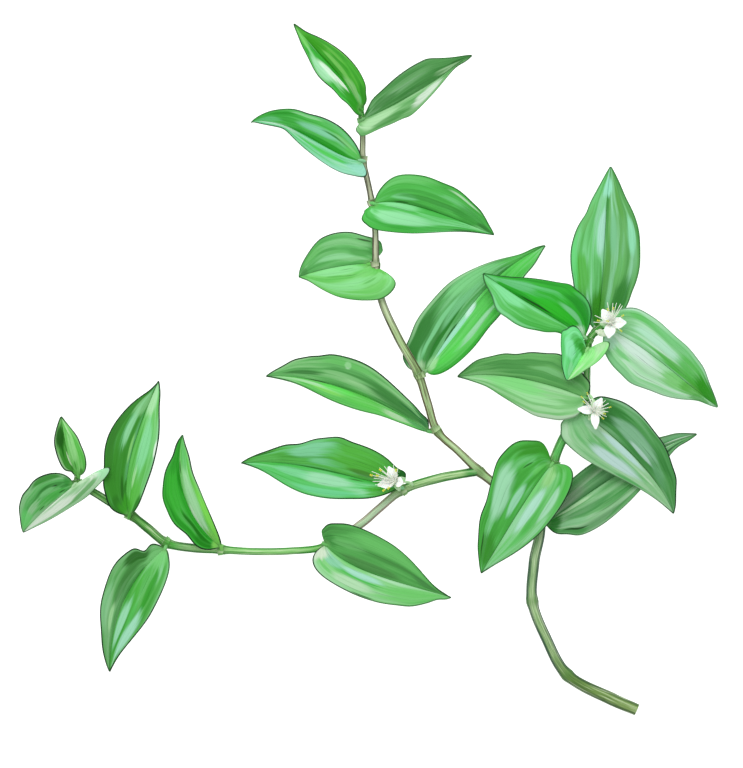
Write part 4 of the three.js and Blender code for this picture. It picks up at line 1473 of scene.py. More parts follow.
LEAVES = (
    Leaf(
        "leaf_top_1",
        Blade((-2.7, 85.4, 9.4), (-24.8, 113.7, 0.3), ((0.33, -3, 11.4), (0.66, 0.5, 6.5)),
              ((-0.2, 5, 4), (0.65, 6.3, 6)), ((0, -9.8, 3), (0.65, -8.7, 3))),
        ("#1f9524", "#34ab3c", "#9fdca6"), ("#238f20", "#38a82a", "#70ba54"),
        (
            (0.15, 0.55, 0.22, 0.5, "#1f9a1a", 0.95), (0.36, 0.3, 0.12, 0.12, "#dff3e0", 0.95),
            (0.52, 0.38, 0.14, 0.18, "#d6f0da", 0.9), (0.6, 0.65, 0.14, 0.25, "#a5e0b4", 0.8),
            (0.4, 0.9, 0.15, 0.1, "#3fbf48", 0.6), (0.88, 0.3, 0.12, 0.5, "#6fca5e", 0.7),
            (0.74, 0.14, 0.09, 0.03, "#1a6a14", 0.8), (0.6, 0.02, 0.25, 0.06, "#1c8412", 0.8),
            (0.2, -0.25, 0.16, 0.22, "#8acb80", 0.75), (0.5, -0.3, 0.25, 0.1, "#7cc866", 0.6),
            (0.76, -0.3, 0.12, 0.4, "#2a9614", 0.85), (0.16, -0.78, 0.16, 0.15, "#1f8a1a", 0.8),
            (0.1, -0.45, 0.08, 0.12, "#7fd08a", 0.6),
        ),
        (
            (LEFT, 0.06, 0.05, 0.6), (LEFT, 0.3, 0.1, -2), (LEFT, 0.46, 0.09, -1.5), (LEFT, 0.66, 0.08, 0.6),
            (LEFT, 0.82, 0.07, 0.3), (RIGHT, 0.2, 0.07, -0.5), (RIGHT, 0.5, 0.15, 0.4),
            (RIGHT, 0.88, 0.08, -0.6),
        ),
    ),
    Leaf(
        "leaf_top_2",
        Blade((-2.3, 81.6, 9.2), (33.9, 103.3, 1), ((0.3, -2, 11.4), (0.66, -1.5, 8)),
              ((0.15, 5.2, 3), (0.7, 12, 3)), ((-0.45, -8, 3), (0.52, -9.2, 4))),
        ("#3f8743", "#549a56", "#8fc093"), ("#4d9a50", "#6db36c", "#a9d8a6"),
        (
            (0.22, -0.45, 0.2, 0.35, "#a9dca6", 0.9), (0.42, -0.72, 0.15, 0.22, "#3f8f40", 0.7),
            (0.66, -0.4, 0.1, 0.34, "#dbefdb", 0.85), (0.78, 0.2, 0.12, 0.14, "#a9d8a4", 0.7),
            (0.9, 0.4, 0.09, 0.14, "#2a6a2e", 0.7), (0.1, 0.85, 0.04, 0.15, "#2f7a38", 0.7),
            (0.25, 0.5, 0.15, 0.25, "#3d8440", 0.7), (0.5, 0.65, 0.22, 0.12, "#6fae70", 0.6),
            (0.55, 0.2, 0.25, 0.12, "#3d8540", 0.7),
        ),
        (
            (LEFT, 0.22, 0.08, 0.5), (LEFT, 0.7, 0.05, 0.4), (LEFT, 0.86, 0.09, -0.9),
            (BOTH, 0.87, 0.08, 0.6), (RIGHT, 0.04, 0.04, 0.6), (RIGHT, 0.18, 0.09, -1.6),
            (RIGHT, 0.4, 0.12, -2.2), (RIGHT, 0.64, 0.08, 0.5), (RIGHT, 0.65, 0.05, 1.6),
            (RIGHT, 0.83, 0.09, -3.2),
        ),
        crease_shade=0.85, rim=0.8,
    ),
    Leaf(
        "leaf_top_3",
        Blade((-2.3, 68.5, 8.6), (-38.9, 81.3, 0.3), ((0.25, 3, 10.4), (0.66, -6.5, 7.5)),
              ((-0.4, 13.3, 9), (0.93, -5.2, 3)), ((0.12, -10.8, 2.5), (0.85, -14, 3))),
        ("#4fc06b", "#7ed0a0", "#b5e2cb"), ("#2fa03a", "#4fb957", "#83cf9c"),
        (
            (0.12, 0.7, 0.2, 0.4, "#93d6c0", 0.9), (0.4, 0.9, 0.2, 0.15, "#8fd6b8", 0.7),
            (0.45, 0.38, 0.2, 0.15, "#4fc45a", 0.85), (0.3, 0.12, 0.25, 0.08, "#8fd8b4", 0.8),
            (0.8, 0.2, 0.18, 0.3, "#c9ead8", 0.8), (0.35, -0.1, 0.35, 0.12, "#219a2a", 0.9),
            (0.12, -0.5, 0.1, 0.35, "#5cc85c", 0.7), (0.48, -0.45, 0.18, 0.14, "#86d2ac", 0.8),
            (0.3, -0.54, 0.15, 0.04, "#1c7a24", 0.8), (0.2, -0.62, 0.14, 0.1, "#8fd48a", 0.5),
            (0.75, -0.75, 0.12, 0.06, "#1f8a28", 0.7), (0.56, -0.84, 0.12, 0.06, "#9fe0a8", 0.6),
            (0.86, -0.35, 0.12, 0.25, "#6fc98a", 0.7),
        ),
        (
            (LEFT, 0.3, 0.12, 0.4), (LEFT, 0.47, 0.13, 3.9), (LEFT, 0.72, 0.08, -1.1), (LEFT, 0.9, 0.08, 1.4),
            (RIGHT, 0.32, 0.1, 0.3), (RIGHT, 0.56, 0.08, -0.6), (RIGHT, 0.85, 0.12, 0.5),
        ),
    ),
    Leaf(
        "leaf_top_4",
        Blade((1.3, 54.3, 8), (41.2, 44.2, 0.3), ((0.25, 5, 10.4), (0.66, 1.5, 7)),
              ((0, 18, 3), (0.78, 16.6, 3.5)), ((-0.3, -17, 3), (0.5, -3.6, 2.5))),
        ("#3f9f45", "#50bd55", "#78d088"), ("#3fae48", "#58c463", "#93e5a9"),
        (
            (0.28, 0.25, 0.12, 0.12, "#84dd9a", 0.8), (0.5, 0.3, 0.3, 0.09, "#3d9a42", 0.8),
            (0.8, 0.35, 0.15, 0.4, "#3d9c44", 0.6), (0.93, 0.3, 0.08, 0.2, "#2f6c32", 0.6),
            (0.3, 0.85, 0.25, 0.15, "#74cf78", 0.6), (0.72, 0.84, 0.13, 0.05, "#c5eec5", 0.8),
            (0.25, 0.06, 0.07, 0.025, "#1c5c1e", 0.9), (0.4, -0.5, 0.24, 0.22, "#97e6ab", 0.95),
            (0.28, -0.12, 0.18, 0.1, "#8ae09e", 0.8), (0.88, -0.1, 0.08, 0.25, "#8fdf95", 0.6),
            (0.86, -0.75, 0.12, 0.16, "#2f6e33", 0.7), (0.02, -0.5, 0.07, 0.5, "#3aa843", 0.8),
            (0.4, -0.95, 0.4, 0.12, "#43b549", 0.6),
        ),
        (
            (LEFT, 0.25, 0.1, 0.5), (LEFT, 0.56, 0.09, -0.6), (LEFT, 0.84, 0.07, 0.7),
            (RIGHT, 0.03, 0.03, 1.4), (RIGHT, 0.26, 0.1, -1), (RIGHT, 0.45, 0.1, -0.4),
            (RIGHT, 0.8, 0.12, -0.45),
        ),
    ),
    Leaf(
        "leaf_top_5",
        Blade((0.2, 34.3, 5.8), (-23.2, 30.2, 0.6), ((0.2, -1.2, 6.4), (0.66, -1.5, 5)),
              ((-1, 14.6, 6), (0.58, 16.2, 3)), ((-0.82, -10.5, -5), (0.9, -21, 2))),
        ("#54c050", "#72cf6d", "#8fe098"), ("#4a9c50", "#5fb364", "#86c88a"),
        (
            (0.5, 0.12, 0.35, 0.14, "#8fdf98", 0.8), (0.05, 0.6, 0.12, 0.5, "#58c04a", 0.8),
            (0.45, 0.95, 0.3, 0.1, "#57b05a", 0.5), (0.38, 0.55, 0.1, 0.03, "#4fae4c", 0.6),
            (0.62, 0.25, 0.1, 0.03, "#4fae4c", 0.6), (0.55, -0.3, 0.22, 0.1, "#8fd59a", 0.8),
            (0.3, -0.45, 0.15, 0.12, "#4a9b4e", 0.7), (0.65, -0.55, 0.12, 0.05, "#4a9b4e", 0.6),
            (0.45, -0.72, 0.25, 0.1, "#86c88a", 0.6), (0.37, -0.86, 0.07, 0.03, "#2f5c2c", 0.9),
            (0.92, -0.2, 0.06, 0.5, "#4a8f4c", 0.7), (0.8, -0.7, 0.12, 0.2, "#5cb85c", 0.6),
        ),
        (
            (LEFT, 0.3, 0.1, -0.5), (LEFT, 0.5, 0.08, 0.6), (LEFT, 0.73, 0.06, 0.4), (LEFT, 0.9, 0.08, -1.3),
            (RIGHT, 0.08, 0.05, 1.2), (RIGHT, 0.38, 0.12, -1.3), (RIGHT, 0.72, 0.07, 0.6),
        ),
    ),
    Leaf(
        "leaf_top_6",
        Blade((17.3, -1.9, 4.6), (58.1, 40.6, 0.3), ((0.3, 3, 5.9), (0.66, 8, 4.5)),
              ((-0.27, 20.5, -2), (0.74, 17.5, 1.5)), ((0, -9.5, 3), (0.6, -6.5, 2.5))),
        ("#337837", "#52a45a", "#8ed59e"), ("#33ae3c", "#5bca60", "#aee0ba"),
        (
            (0.28, 0.78, 0.2, 0.32, "#2f7a34", 0.9), (0.35, 0.45, 0.25, 0.07, "#80cf95", 0.8),
            (0.25, 0.2, 0.22, 0.07, "#237a2a", 0.9), (0.5, 0.3, 0.2, 0.1, "#7fce95", 0.7),
            (0.66, 0.6, 0.13, 0.4, "#7dd08a", 0.8), (0.6, 0.97, 0.4, 0.1, "#a3dba5", 0.6),
            (0.87, 0.4, 0.12, 0.5, "#55c257", 0.7), (0.28, 0.03, 0.07, 0.04, "#1c6420", 0.9),
            (0.25, -0.12, 0.25, 0.12, "#9fe0c4", 0.95), (0.46, -0.09, 0.06, 0.09, "#c8eee0", 0.9),
            (0.05, -0.3, 0.09, 0.5, "#a3e0a0", 0.8), (0.45, -0.62, 0.18, 0.1, "#a2dcb4", 0.8),
            (0.25, -0.55, 0.15, 0.2, "#4ed253", 0.7), (0.3, -0.95, 0.4, 0.1, "#2aa432", 0.8),
            (0.85, -0.4, 0.12, 0.4, "#4fcb55", 0.6), (0.03, 0.7, 0.09, 0.45, "#a9d6a4", 0.9),
        ),
        (
            (LEFT, 0.05, 0.05, 1), (LEFT, 0.3, 0.1, -1.8), (LEFT, 0.62, 0.1, 1.4), (LEFT, 0.86, 0.08, -1.4),
            (RIGHT, 0.56, 0.08, -0.8), (RIGHT, 0.9, 0.06, 0.8),
        ),
        crease_shade=0.7, rim=0.8,
    ),
    Leaf(
        "leaf_top_7",
        Blade((20.8, -20.4, 4), (-34, -2.5, 0.6), ((0.33, -4.5, 7.4), (0.66, -7, 6)),
              ((0.05, 1.2, 4), (0.72, 1.2, 4)), ((0.22, -13.8, 2), (0.82, -23.5, 3))),
        ("#4ab44e", "#6ccd68", "#b9e2ba"), ("#438e48", "#66b768", "#9ad496"),
        (
            (0.55, -0.75, 0.02, 0.12, "#b5dfb7", 1), (0.22, -0.4, 0.22, 0.35, "#3a803e", 0.85),
            (0.4, -0.5, 0.2, 0.06, "#3f8a42", 0.7), (0.8, -0.32, 0.14, 0.1, "#397a3c", 0.85),
            (0.55, -0.78, 0.18, 0.12, "#63c463", 0.6), (0.08, -0.8, 0.1, 0.05, "#1f5c38", 0.8),
            (0.14, -0.55, 0.1, 0.04, "#1f5c38", 0.7), (0.04, -0.6, 0.06, 0.4, "#2a6c40", 0.6),
            (0.08, 0.5, 0.13, 0.5, "#54a462", 0.85), (0.27, 0.6, 0.1, 0.3, "#b5d6ae", 0.75),
            (0.45, 0.4, 0.14, 0.5, "#4fc24a", 0.7), (0.6, 0.2, 0.12, 0.18, "#55dc55", 0.8),
            (0.66, 0.5, 0.1, 0.12, "#7fd860", 0.6), (0.22, 0.2, 0.05, 0.03, "#2a7a2c", 0.8),
            (0.72, -0.03, 0.08, 0.03, "#1c4a1c", 0.9), (0.9, 0.5, 0.1, 0.4, "#8fd08f", 0.6),
        ),
        (
            (LEFT, 0.25, 0.1, -0.7), (LEFT, 0.38, 0.1, -1.1), (LEFT, 0.8, 0.15, -0.8), (RIGHT, 0.05, 0.04, 1),
            (RIGHT, 0.12, 0.08, 0.6), (RIGHT, 0.46, 0.12, 0.7), (RIGHT, 0.7, 0.04, -0.4),
            (RIGHT, 0.84, 0.05, 0.5),
        ),
        crease_shade=0.85, rim=1.2,
    ),
    Leaf(
        "leaf_left_1",
        Blade((10.6, -39.3, 5.4), (-42.2, -31.2, 0.6), ((0.3, 0, 7.9), (0.66, -5, 6)),
              ((0.2, 9.2, 3), (0.65, 9.9, 3)), ((0.02, -16.5, 2.5), (0.78, -16.8, 3))),
        ("#3fb04a", "#5cc670", "#9bdcb2"), ("#3c9a34", "#52b850", "#85d3a4"),
        (
            (0.12, 0.65, 0.14, 0.5, "#3cab2c", 0.85), (0.5, 0.78, 0.22, 0.13, "#6fd09a", 0.7),
            (0.48, 0.33, 0.17, 0.26, "#9ad9b0", 0.9), (0.7, 0.3, 0.12, 0.2, "#7fd2a0", 0.6),
            (0.3, 0.12, 0.06, 0.03, "#226a1e", 0.9), (0.5, 0, 0.25, 0.05, "#2f8a35", 0.7),
            (0.6, -0.6, 0.14, 0.3, "#84d2a5", 0.85), (0.5, -0.25, 0.12, 0.12, "#7fd0a0", 0.7),
            (0.35, -0.5, 0.2, 0.4, "#4ab339", 0.7), (0.25, -0.2, 0.13, 0.1, "#3f7f2c", 0.8),
            (0.86, -0.25, 0.1, 0.35, "#5cbf5c", 0.7), (0.86, -0.78, 0.07, 0.05, "#12601a", 0.8),
            (0.05, -0.75, 0.08, 0.4, "#1a6226", 0.9),
        ),
        (
            (LEFT, 0.36, 0.1, -0.35), (LEFT, 0.88, 0.12, -0.8), (RIGHT, 0.05, 0.06, 2.4),
            (RIGHT, 0.5, 0.05, 0.9), (RIGHT, 0.67, 0.06, -1.4), (RIGHT, 0.8, 0.1, -0.5),
        ),
        crease_shade=0.85, rim=1.2,
    ),
    Leaf(
        "leaf_left_2",
        Blade((-14.4, -58, 5.4), (27.1, -75.5, 0.3), ((0.25, -5.5, 7.4), (0.66, -1.5, 6)),
              ((-0.27, 14.5, 3), (0.65, 10.8, 3)), ((-0.27, -16.2, 2.5), (0.83, -14.4, 3))),
        ("#3f8640", "#50a653", "#66bd67"), ("#4ab854", "#7fcf80", "#b0e0b8"),
        (
            (0.1, 0.55, 0.12, 0.25, "#3f8f44", 0.8), (0.3, 0.5, 0.15, 0.12, "#6fc071", 0.6),
            (0.4, 0.15, 0.25, 0.12, "#478c46", 0.85), (0.6, 0.75, 0.25, 0.2, "#69c56a", 0.7),
            (0.82, 0.4, 0.1, 0.2, "#46864a", 0.7), (0.15, -0.35, 0.14, 0.22, "#8ccfae", 0.85),
            (0.42, -0.25, 0.16, 0.13, "#a8e0cc", 0.9), (0.06, -0.7, 0.1, 0.45, "#d4e4cc", 0.9),
            (0.42, -0.65, 0.14, 0.2, "#bfe2c0", 0.7), (0.53, -0.93, 0.06, 0.025, "#145018", 0.8),
            (0.78, -0.45, 0.2, 0.4, "#66ca66", 0.7),
        ),
        (
            (LEFT, 0.06, 0.05, 1), (LEFT, 0.28, 0.07, -0.4), (LEFT, 0.86, 0.12, -1.5),
            (RIGHT, 0.4, 0.12, -0.4), (RIGHT, 0.76, 0.05, 0.5), (RIGHT, 0.9, 0.05, -0.7),
        ),
    ),
    Leaf(
        "leaf_left_3",
        Blade((-48.7, -58.9, 4.9), (-61.6, -21.9, 0.3), ((0.3, 7.5, 7.4), (0.66, 8, 6)),
              ((-0.02, 17.6, 2.5), (0.85, 16.2, 3)), ((0.1, -2, 5), (0.6, 2, 5))),
        ("#12861c", "#2ba432", "#56b85c"), ("#5cc04c", "#8ad08c", "#b2e0b4"),
        (
            (0.25, 0.38, 0.2, 0.14, "#08700f", 0.95), (0.14, 0.6, 0.1, 0.25, "#0c7a14", 0.7),
            (0.35, 0.5, 0.15, 0.07, "#55b25a", 0.6), (0.6, 0.5, 0.18, 0.35, "#2bab30", 0.8),
            (0.82, 0.5, 0.12, 0.4, "#1f9326", 0.7), (0.02, 0.2, 0.06, 0.8, "#7ccf5a", 0.9),
            (0.5, -0.35, 0.3, 0.22, "#a2daa6", 0.7), (0.33, -0.14, 0.14, 0.1, "#c8e8c8", 0.7),
            (0.1, -0.4, 0.14, 0.4, "#74d24f", 0.85), (0.3, -0.85, 0.35, 0.25, "#73d74f", 0.95),
            (0.86, -0.45, 0.14, 0.3, "#4cb45c", 0.6), (0.76, -0.1, 0.06, 0.03, "#124a12", 0.9),
        ),
        (
            (LEFT, 0.29, 0.1, -1.7), (LEFT, 0.58, 0.06, 0.5), (LEFT, 0.84, 0.07, -0.8), (RIGHT, 0.85, 0.1, 1),
        ),
        crease_shade=0.85, rim=1.3,
    ),
    Leaf(
        "leaf_left_4",
        Blade((-67, -58.6, 5.2), (-85.6, -100, 0.3), ((0.3, -7, 7.4), (0.66, -7, 5)),
              ((0, 7.2, 3), (0.6, 5.8, 3)), ((-0.06, -16.8, 3), (0.75, -17, 3))),
        ("#339f34", "#5cba5c", "#a3dcb6"), ("#35843a", "#5eac60", "#94c998"),
        (
            (0.08, 0, 0.13, 0.6, "#79c87c", 0.9), (0.1, 0.6, 0.15, 0.4, "#74ca78", 0.8),
            (0.42, 0.62, 0.18, 0.12, "#2c9f2c", 0.85), (0.38, 0.3, 0.22, 0.2, "#3fb03a", 0.7),
            (0.76, 0.62, 0.18, 0.22, "#a8e6c8", 0.9), (0.66, 0.18, 0.2, 0.12, "#9fe0ba", 0.9),
            (0.6, 0.42, 0.12, 0.08, "#55c060", 0.6), (0.4, 0.95, 0.3, 0.07, "#8fd598", 0.6),
            (0.24, -0.7, 0.13, 0.22, "#1c6418", 0.9), (0.3, -0.42, 0.16, 0.12, "#2f7a2c", 0.7),
            (0.4, -0.35, 0.2, 0.15, "#3f8540", 0.7), (0.5, -0.12, 0.3, 0.08, "#3a8a40", 0.6),
            (0.66, -0.35, 0.1, 0.1, "#a5e0a0", 0.8), (0.62, -0.75, 0.15, 0.2, "#8fd09a", 0.6),
        ),
        (
            (LEFT, 0.14, 0.12, -0.7), (LEFT, 0.9, 0.1, -0.3), (RIGHT, 0.17, 0.05, -2.3),
            (RIGHT, 0.42, 0.1, 0.8), (RIGHT, 0.75, 0.09, -0.6),
        ),
        crease_shade=0.6, rim=1.5,
    ),
    Leaf(
        "leaf_left_5",
        Blade((-78.9, -48.2, 6.4), (-69.5, -4.1, 0.3), ((0.3, 6.5, 8.4), (0.66, 2.5, 6)),
              ((-0.05, 18.2, 0.5), (0.77, 16.3, 3)), ((0.1, -5.4, 3), (0.75, -6.4, 3))),
        ("#1f7418", "#359030", "#76c28c"), ("#38a22c", "#64c062", "#9cdcaa"),
        (
            (0.32, 0.55, 0.26, 0.4, "#2c8822", 0.85), (0.18, 0.22, 0.15, 0.08, "#1a6414", 0.85),
            (0.1, 0.6, 0.1, 0.35, "#1f7018", 0.7), (0.5, 0.8, 0.25, 0.12, "#2a7a22", 0.6),
            (0.66, 0.36, 0.15, 0.12, "#90d6a2", 0.85), (0.5, 0.1, 0.12, 0.05, "#8ad478", 0.7),
            (0.82, 0.35, 0.1, 0.35, "#8fd092", 0.6), (0.05, -0.1, 0.11, 0.8, "#2f9a20", 0.9),
            (0.18, -0.6, 0.15, 0.3, "#4bb63a", 0.7), (0.33, -0.35, 0.1, 0.07, "#a5dfa0", 0.7),
            (0.55, -0.45, 0.2, 0.26, "#86d69e", 0.8), (0.86, -0.3, 0.13, 0.4, "#a9dfaa", 0.85),
            (0.1, -0.88, 0.14, 0.18, "#1f7a1a", 0.9), (0.4, -0.85, 0.15, 0.1, "#58b858", 0.6),
            (0.55, -0.95, 0.06, 0.1, "#e8f6ea", 0.8),
        ),
        (
            (LEFT, 0.24, 0.08, -0.9), (LEFT, 0.4, 0.12, -1.6), (LEFT, 0.92, 0.08, -0.9),
            (RIGHT, 0.3, 0.12, -0.35), (RIGHT, 0.9, 0.08, 0.4),
        ),
        crease_shade=0.85, rim=1.5,
    ),
    Leaf(
        "leaf_left_6",
        Blade((-96.7, -38.1, 8), (-114.2, -54, 0.3), ((0.2, 0, 9.4), (0.66, -1, 5)),
              ((-1.35, 5, 5), (0.2, 9, 3)), ((-0.15, -10.2, 3), (0.8, -16.6, 3.5))),
        ("#7abb7c", "#a9d7aa", "#e2f1e0"), ("#2f7d35", "#5cb263", "#a3cfa3"),
        (
            (0.72, 0.3, 0.28, 0.28, "#dff0dd", 0.9), (0.5, 0.68, 0.22, 0.13, "#68b069", 0.9),
            (0.28, 0.95, 0.18, 0.25, "#a8e8b6", 0.9), (0.12, 0.3, 0.16, 0.3, "#c8e6c4", 0.7),
            (0.5, 0.03, 0.3, 0.05, "#e2f2df", 0.8), (0.1, -0.6, 0.1, 0.4, "#2f8a38", 0.7),
            (0.38, -0.86, 0.2, 0.13, "#1f8522", 0.9), (0.45, -0.2, 0.3, 0.12, "#3fae45", 0.6),
            (0.85, -0.4, 0.12, 0.4, "#66d070", 0.7), (0.25, -0.16, 0.06, 0.03, "#1c5c20", 0.9),
            (0.6, -0.13, 0.05, 0.02, "#1c5c20", 0.9), (0.33, -0.48, 0.04, 0.03, "#143c18", 0.95),
            (0.45, -0.45, 0.12, 0.08, "#7fcc86", 0.6),
        ),
        (
            (RIGHT, 0.6, 0.07, -0.7), (RIGHT, 0.8, 0.06, 0.4), (LEFT, 0.64, 0.05, 0.8),
            (LEFT, 0.92, 0.06, -0.4),
        ),
        crease_shade=0.6, rim=1.4,
    ),
    Leaf(
        "leaf_left_7",
        Blade((-95.6, -35.2, 8.4), (-101.2, -15.8, 9), ((0.33, 2.5, 11.4), (0.66, 0.5, 12)),
              ((0.05, 6.2, 2), (0.75, 7, 2)), ((0, -6.3, 2.5), (0.7, -4.9, 2))),
        ("#146c10", "#3f9836", "#84c07a"), ("#52ba4a", "#7ccf72", "#b5e4ac"),
        (
            (0.7, 0.45, 0.18, 0.42, "#0f5a08", 0.95), (0.3, 0.9, 0.25, 0.12, "#a9cfa6", 0.8),
            (0.3, 0.3, 0.16, 0.2, "#3f9a34", 0.6), (0.32, 0.1, 0.14, 0.05, "#dcebd0", 0.85),
            (0.5, -0.35, 0.25, 0.2, "#92d98a", 0.8), (0.1, -0.72, 0.1, 0.16, "#2f8a20", 0.8),
            (0.2, -0.3, 0.1, 0.05, "#2f8a26", 0.7), (0.05, 0.1, 0.08, 0.7, "#5cbf50", 0.8),
        ),
        (
            (LEFT, 0.14, 0.08, -1), (LEFT, 0.5, 0.2, -0.3), (RIGHT, 0.56, 0.1, -0.3),
        ),
        crease_shade=0.85, rim=1.3,
    ),
    Leaf(
        "leaf_right_1",
        Blade((60.2, -31.4, 8.3), (37, -67.5, 0.3), ((0.2, -1.5, 9.9), (0.66, -0.5, 6.5)),
              ((-0.3, 15, 3), (0.75, 11.2, 3)), ((-0.47, -19.5, 2), (0.62, -22.2, 3))),
        ("#45b349", "#7fcc86", "#b2e3c9"), ("#268f24", "#48b24a", "#93d8a8"),
        (
            (0.15, 0.3, 0.17, 0.2, "#93d286", 0.8), (0.48, 0.28, 0.19, 0.15, "#b0e2cc", 0.95),
            (0.44, 0.68, 0.12, 0.1, "#aee1c2", 0.8), (0.62, 0.82, 0.1, 0.07, "#9fe0b0", 0.6),
            (0.25, 0.9, 0.25, 0.12, "#45b847", 0.8), (0.78, 0.45, 0.16, 0.3, "#6fcb77", 0.6),
            (0.16, -0.28, 0.12, 0.1, "#5fc85c", 0.7), (0.48, -0.2, 0.13, 0.09, "#a3e0c0", 0.8),
            (0.56, -0.6, 0.15, 0.26, "#a3dfb8", 0.9), (0.16, -0.8, 0.22, 0.17, "#2a8f1e", 0.85),
            (0.1, -0.5, 0.14, 0.25, "#2f9e2a", 0.7), (0.08, 0.6, 0.12, 0.3, "#3fa83c", 0.7),
            (0.4, -0.4, 0.12, 0.1, "#3aa43a", 0.6), (0.3, 0.06, 0.2, 0.05, "#6fcf70", 0.6),
            (0.86, -0.35, 0.11, 0.42, "#2f8f28", 0.85), (0.3, -0.5, 0.06, 0.02, "#1c6a1c", 0.9),
            (0.85, -0.7, 0.07, 0.04, "#184a18", 0.8),
        ),
        (
            (LEFT, 0.9, 0.1, -0.4), (RIGHT, 0.24, 0.11, -1.8), (RIGHT, 0.52, 0.05, 0.5),
            (RIGHT, 0.68, 0.06, -1.1), (RIGHT, 0.62, 0.09, -1.9), (RIGHT, 0.88, 0.04, 0.3),
        ),
        crease_shade=0.85, rim=1.3,
    ),
    Leaf(
        "leaf_right_2",
        Blade((57.6, -50.9, 3.6), (108.1, -21.6, 0.6), ((0.33, 1, 4.2), (0.66, 4, 3.4)),
              ((0.15, 11.5, 1), (0.7, 13.2, 1.5)), ((0.03, -17.8, 0.5), (0.5, -7.2, 2))),
        ("#427f4a", "#629f68", "#a5bfa2"), ("#42944a", "#74b478", "#b2d6b4"),
        (
            (0.2, 0.4, 0.14, 0.34, "#738f73", 0.7), (0.3, 0.7, 0.2, 0.2, "#3a7a41", 0.7),
            (0.2, -0.1, 0.14, 0.06, "#b5dfb0", 0.8), (0.3, -0.4, 0.2, 0.14, "#3d8c48", 0.7),
            (0.4, -0.85, 0.3, 0.12, "#2f7d3a", 0.6), (0.2, -0.62, 0.15, 0.1, "#7cc089", 0.6),
            (0.25, -0.82, 0.1, 0.03, "#154018", 0.9), (0.05, -0.5, 0.09, 0.5, "#1c7a26", 0.9),
            (0.88, 0.6, 0.1, 0.25, "#5aa86c", 0.7), (0.9, 0.3, 0.1, 0.05, "#d5ecd8", 0.8),
            (0.9, -0.02, 0.1, 0.06, "#d5ecd8", 0.6), (0.86, -0.42, 0.09, 0.14, "#2c5c38", 0.8),
        ),
        (
            (RIGHT, 0.2, 0.08, -1.1), (RIGHT, 0.5, 0.1, 0.3), (RIGHT, 0.88, 0.06, -1.5),
            (LEFT, 0.9, 0.06, 0.6),
        ),
        crease_shade=0.6, rim=0.9,
    ),
    Leaf(
        "leaf_right_3",
        Blade((70.2, -14.4, 11.8), (100.5, -47.8, 0.3), ((0.2, 1.5, 12.6), (0.66, 5.5, 8.5)),
              ((-0.2, 18, 1), (0.85, 18.3, 3)), ((-0.26, -21.8, 0), (0.45, -5.2, 2.5))),
        ("#2f7c36", "#529c59", "#84bc8e"), ("#70bc78", "#92cc96", "#b8deba"),
        (
            (0.15, 0.5, 0.22, 0.45, "#2c7433", 0.9), (0.5, 0.4, 0.2, 0.25, "#98ccac", 0.6),
            (0.56, 0.22, 0.1, 0.07, "#b3d6c8", 0.8), (0.75, 0.3, 0.1, 0.2, "#6fb080", 0.6),
            (0.85, 0.5, 0.12, 0.3, "#4d9c50", 0.6), (0.08, -0.5, 0.12, 0.6, "#7fc488", 0.8),
            (0.45, -0.1, 0.22, 0.09, "#bce0da", 0.9), (0.58, -0.5, 0.17, 0.2, "#c0e0da", 0.95),
            (0.22, -0.22, 0.16, 0.12, "#9ad0a8", 0.6), (0.4, -0.32, 0.15, 0.05, "#5ab561", 0.6),
            (0.74, -0.85, 0.07, 0.1, "#4fae5c", 0.7), (0.86, -0.3, 0.1, 0.4, "#8cc98f", 0.7),
        ),
        (
            (LEFT, 0.25, 0.08, -0.5), (LEFT, 0.55, 0.06, -0.3), (LEFT, 0.8, 0.05, 0.6),
            (RIGHT, 0.24, 0.08, -1.1), (RIGHT, 0.55, 0.08, 0.5),
        ),
    ),
    Leaf(
        "leaf_right_4",
        Blade((70.9, -9.8, 13.1), (29.2, -2.6, 0.3), ((0.3, -3, 14.6), (0.66, -4.5, 9)),
              ((0, 17.4, 3), (0.6, 3.4, 3)), ((-0.18, -16.6, 0), (0.88, -15.8, 3))),
        ("#66b466", "#82c882", "#a3d8a3"), ("#4a954c", "#60ac5e", "#86c486"),
        (
            (0.45, -0.25, 0.3, 0.1, "#4a954e", 0.85), (0.15, -0.5, 0.1, 0.3, "#4f9a52", 0.6),
            (0.35, -0.45, 0.15, 0.1, "#7fc185", 0.6), (0.6, 0.3, 0.25, 0.3, "#78d77b", 0.7),
            (0.45, 0.5, 0.25, 0.12, "#a0dca2", 0.7), (0.35, 0.95, 0.3, 0.08, "#b3d2b2", 0.8),
        ),
        (
            (LEFT, 0.24, 0.07, -0.4), (LEFT, 0.52, 0.08, 0.9), (LEFT, 0.8, 0.06, -0.4),
            (RIGHT, 0.2, 0.07, -1.1), (RIGHT, 0.42, 0.05, 1), (RIGHT, 0.62, 0.05, -0.9),
            (RIGHT, 0.84, 0.07, 0.8),
        ),
    ),
    Leaf(
        "leaf_right_5",
        Blade((71.3, 6, 14), (64.8, -4, 15.6), ((0.2, 0, 16), (0.66, 0, 16.2)),
              ((-1.4, 8.5, 4.5), (0.5, 6.5, 2)), ((-1.15, -14, 3), (0.7, -10.5, 2))),
        ("#6cdc6c", "#90ea8c", "#bceeb8"), ("#3fb458", "#6ee088", "#92f0b2"),
        (
            (0.25, 0.7, 0.2, 0.25, "#a9dca4", 0.8), (0.3, 0.02, 0.3, 0.08, "#8ffb8c", 0.9),
            (0.12, -0.14, 0.18, 0.15, "#229022", 0.8), (0.17, -0.27, 0.17, 0.17, "#279628", 0.8),
            (0.25, -0.42, 0.17, 0.18, "#2c9c30", 0.75), (0.34, -0.6, 0.15, 0.18, "#3fae44", 0.55),
            (0.52, -0.5, 0.13, 0.3, "#97f0bc", 0.8), (0.75, -0.2, 0.15, 0.2, "#8fe0a4", 0.7),
            (0.06, 0.3, 0.08, 0.15, "#8fe080", 0.6),
        ),
        (
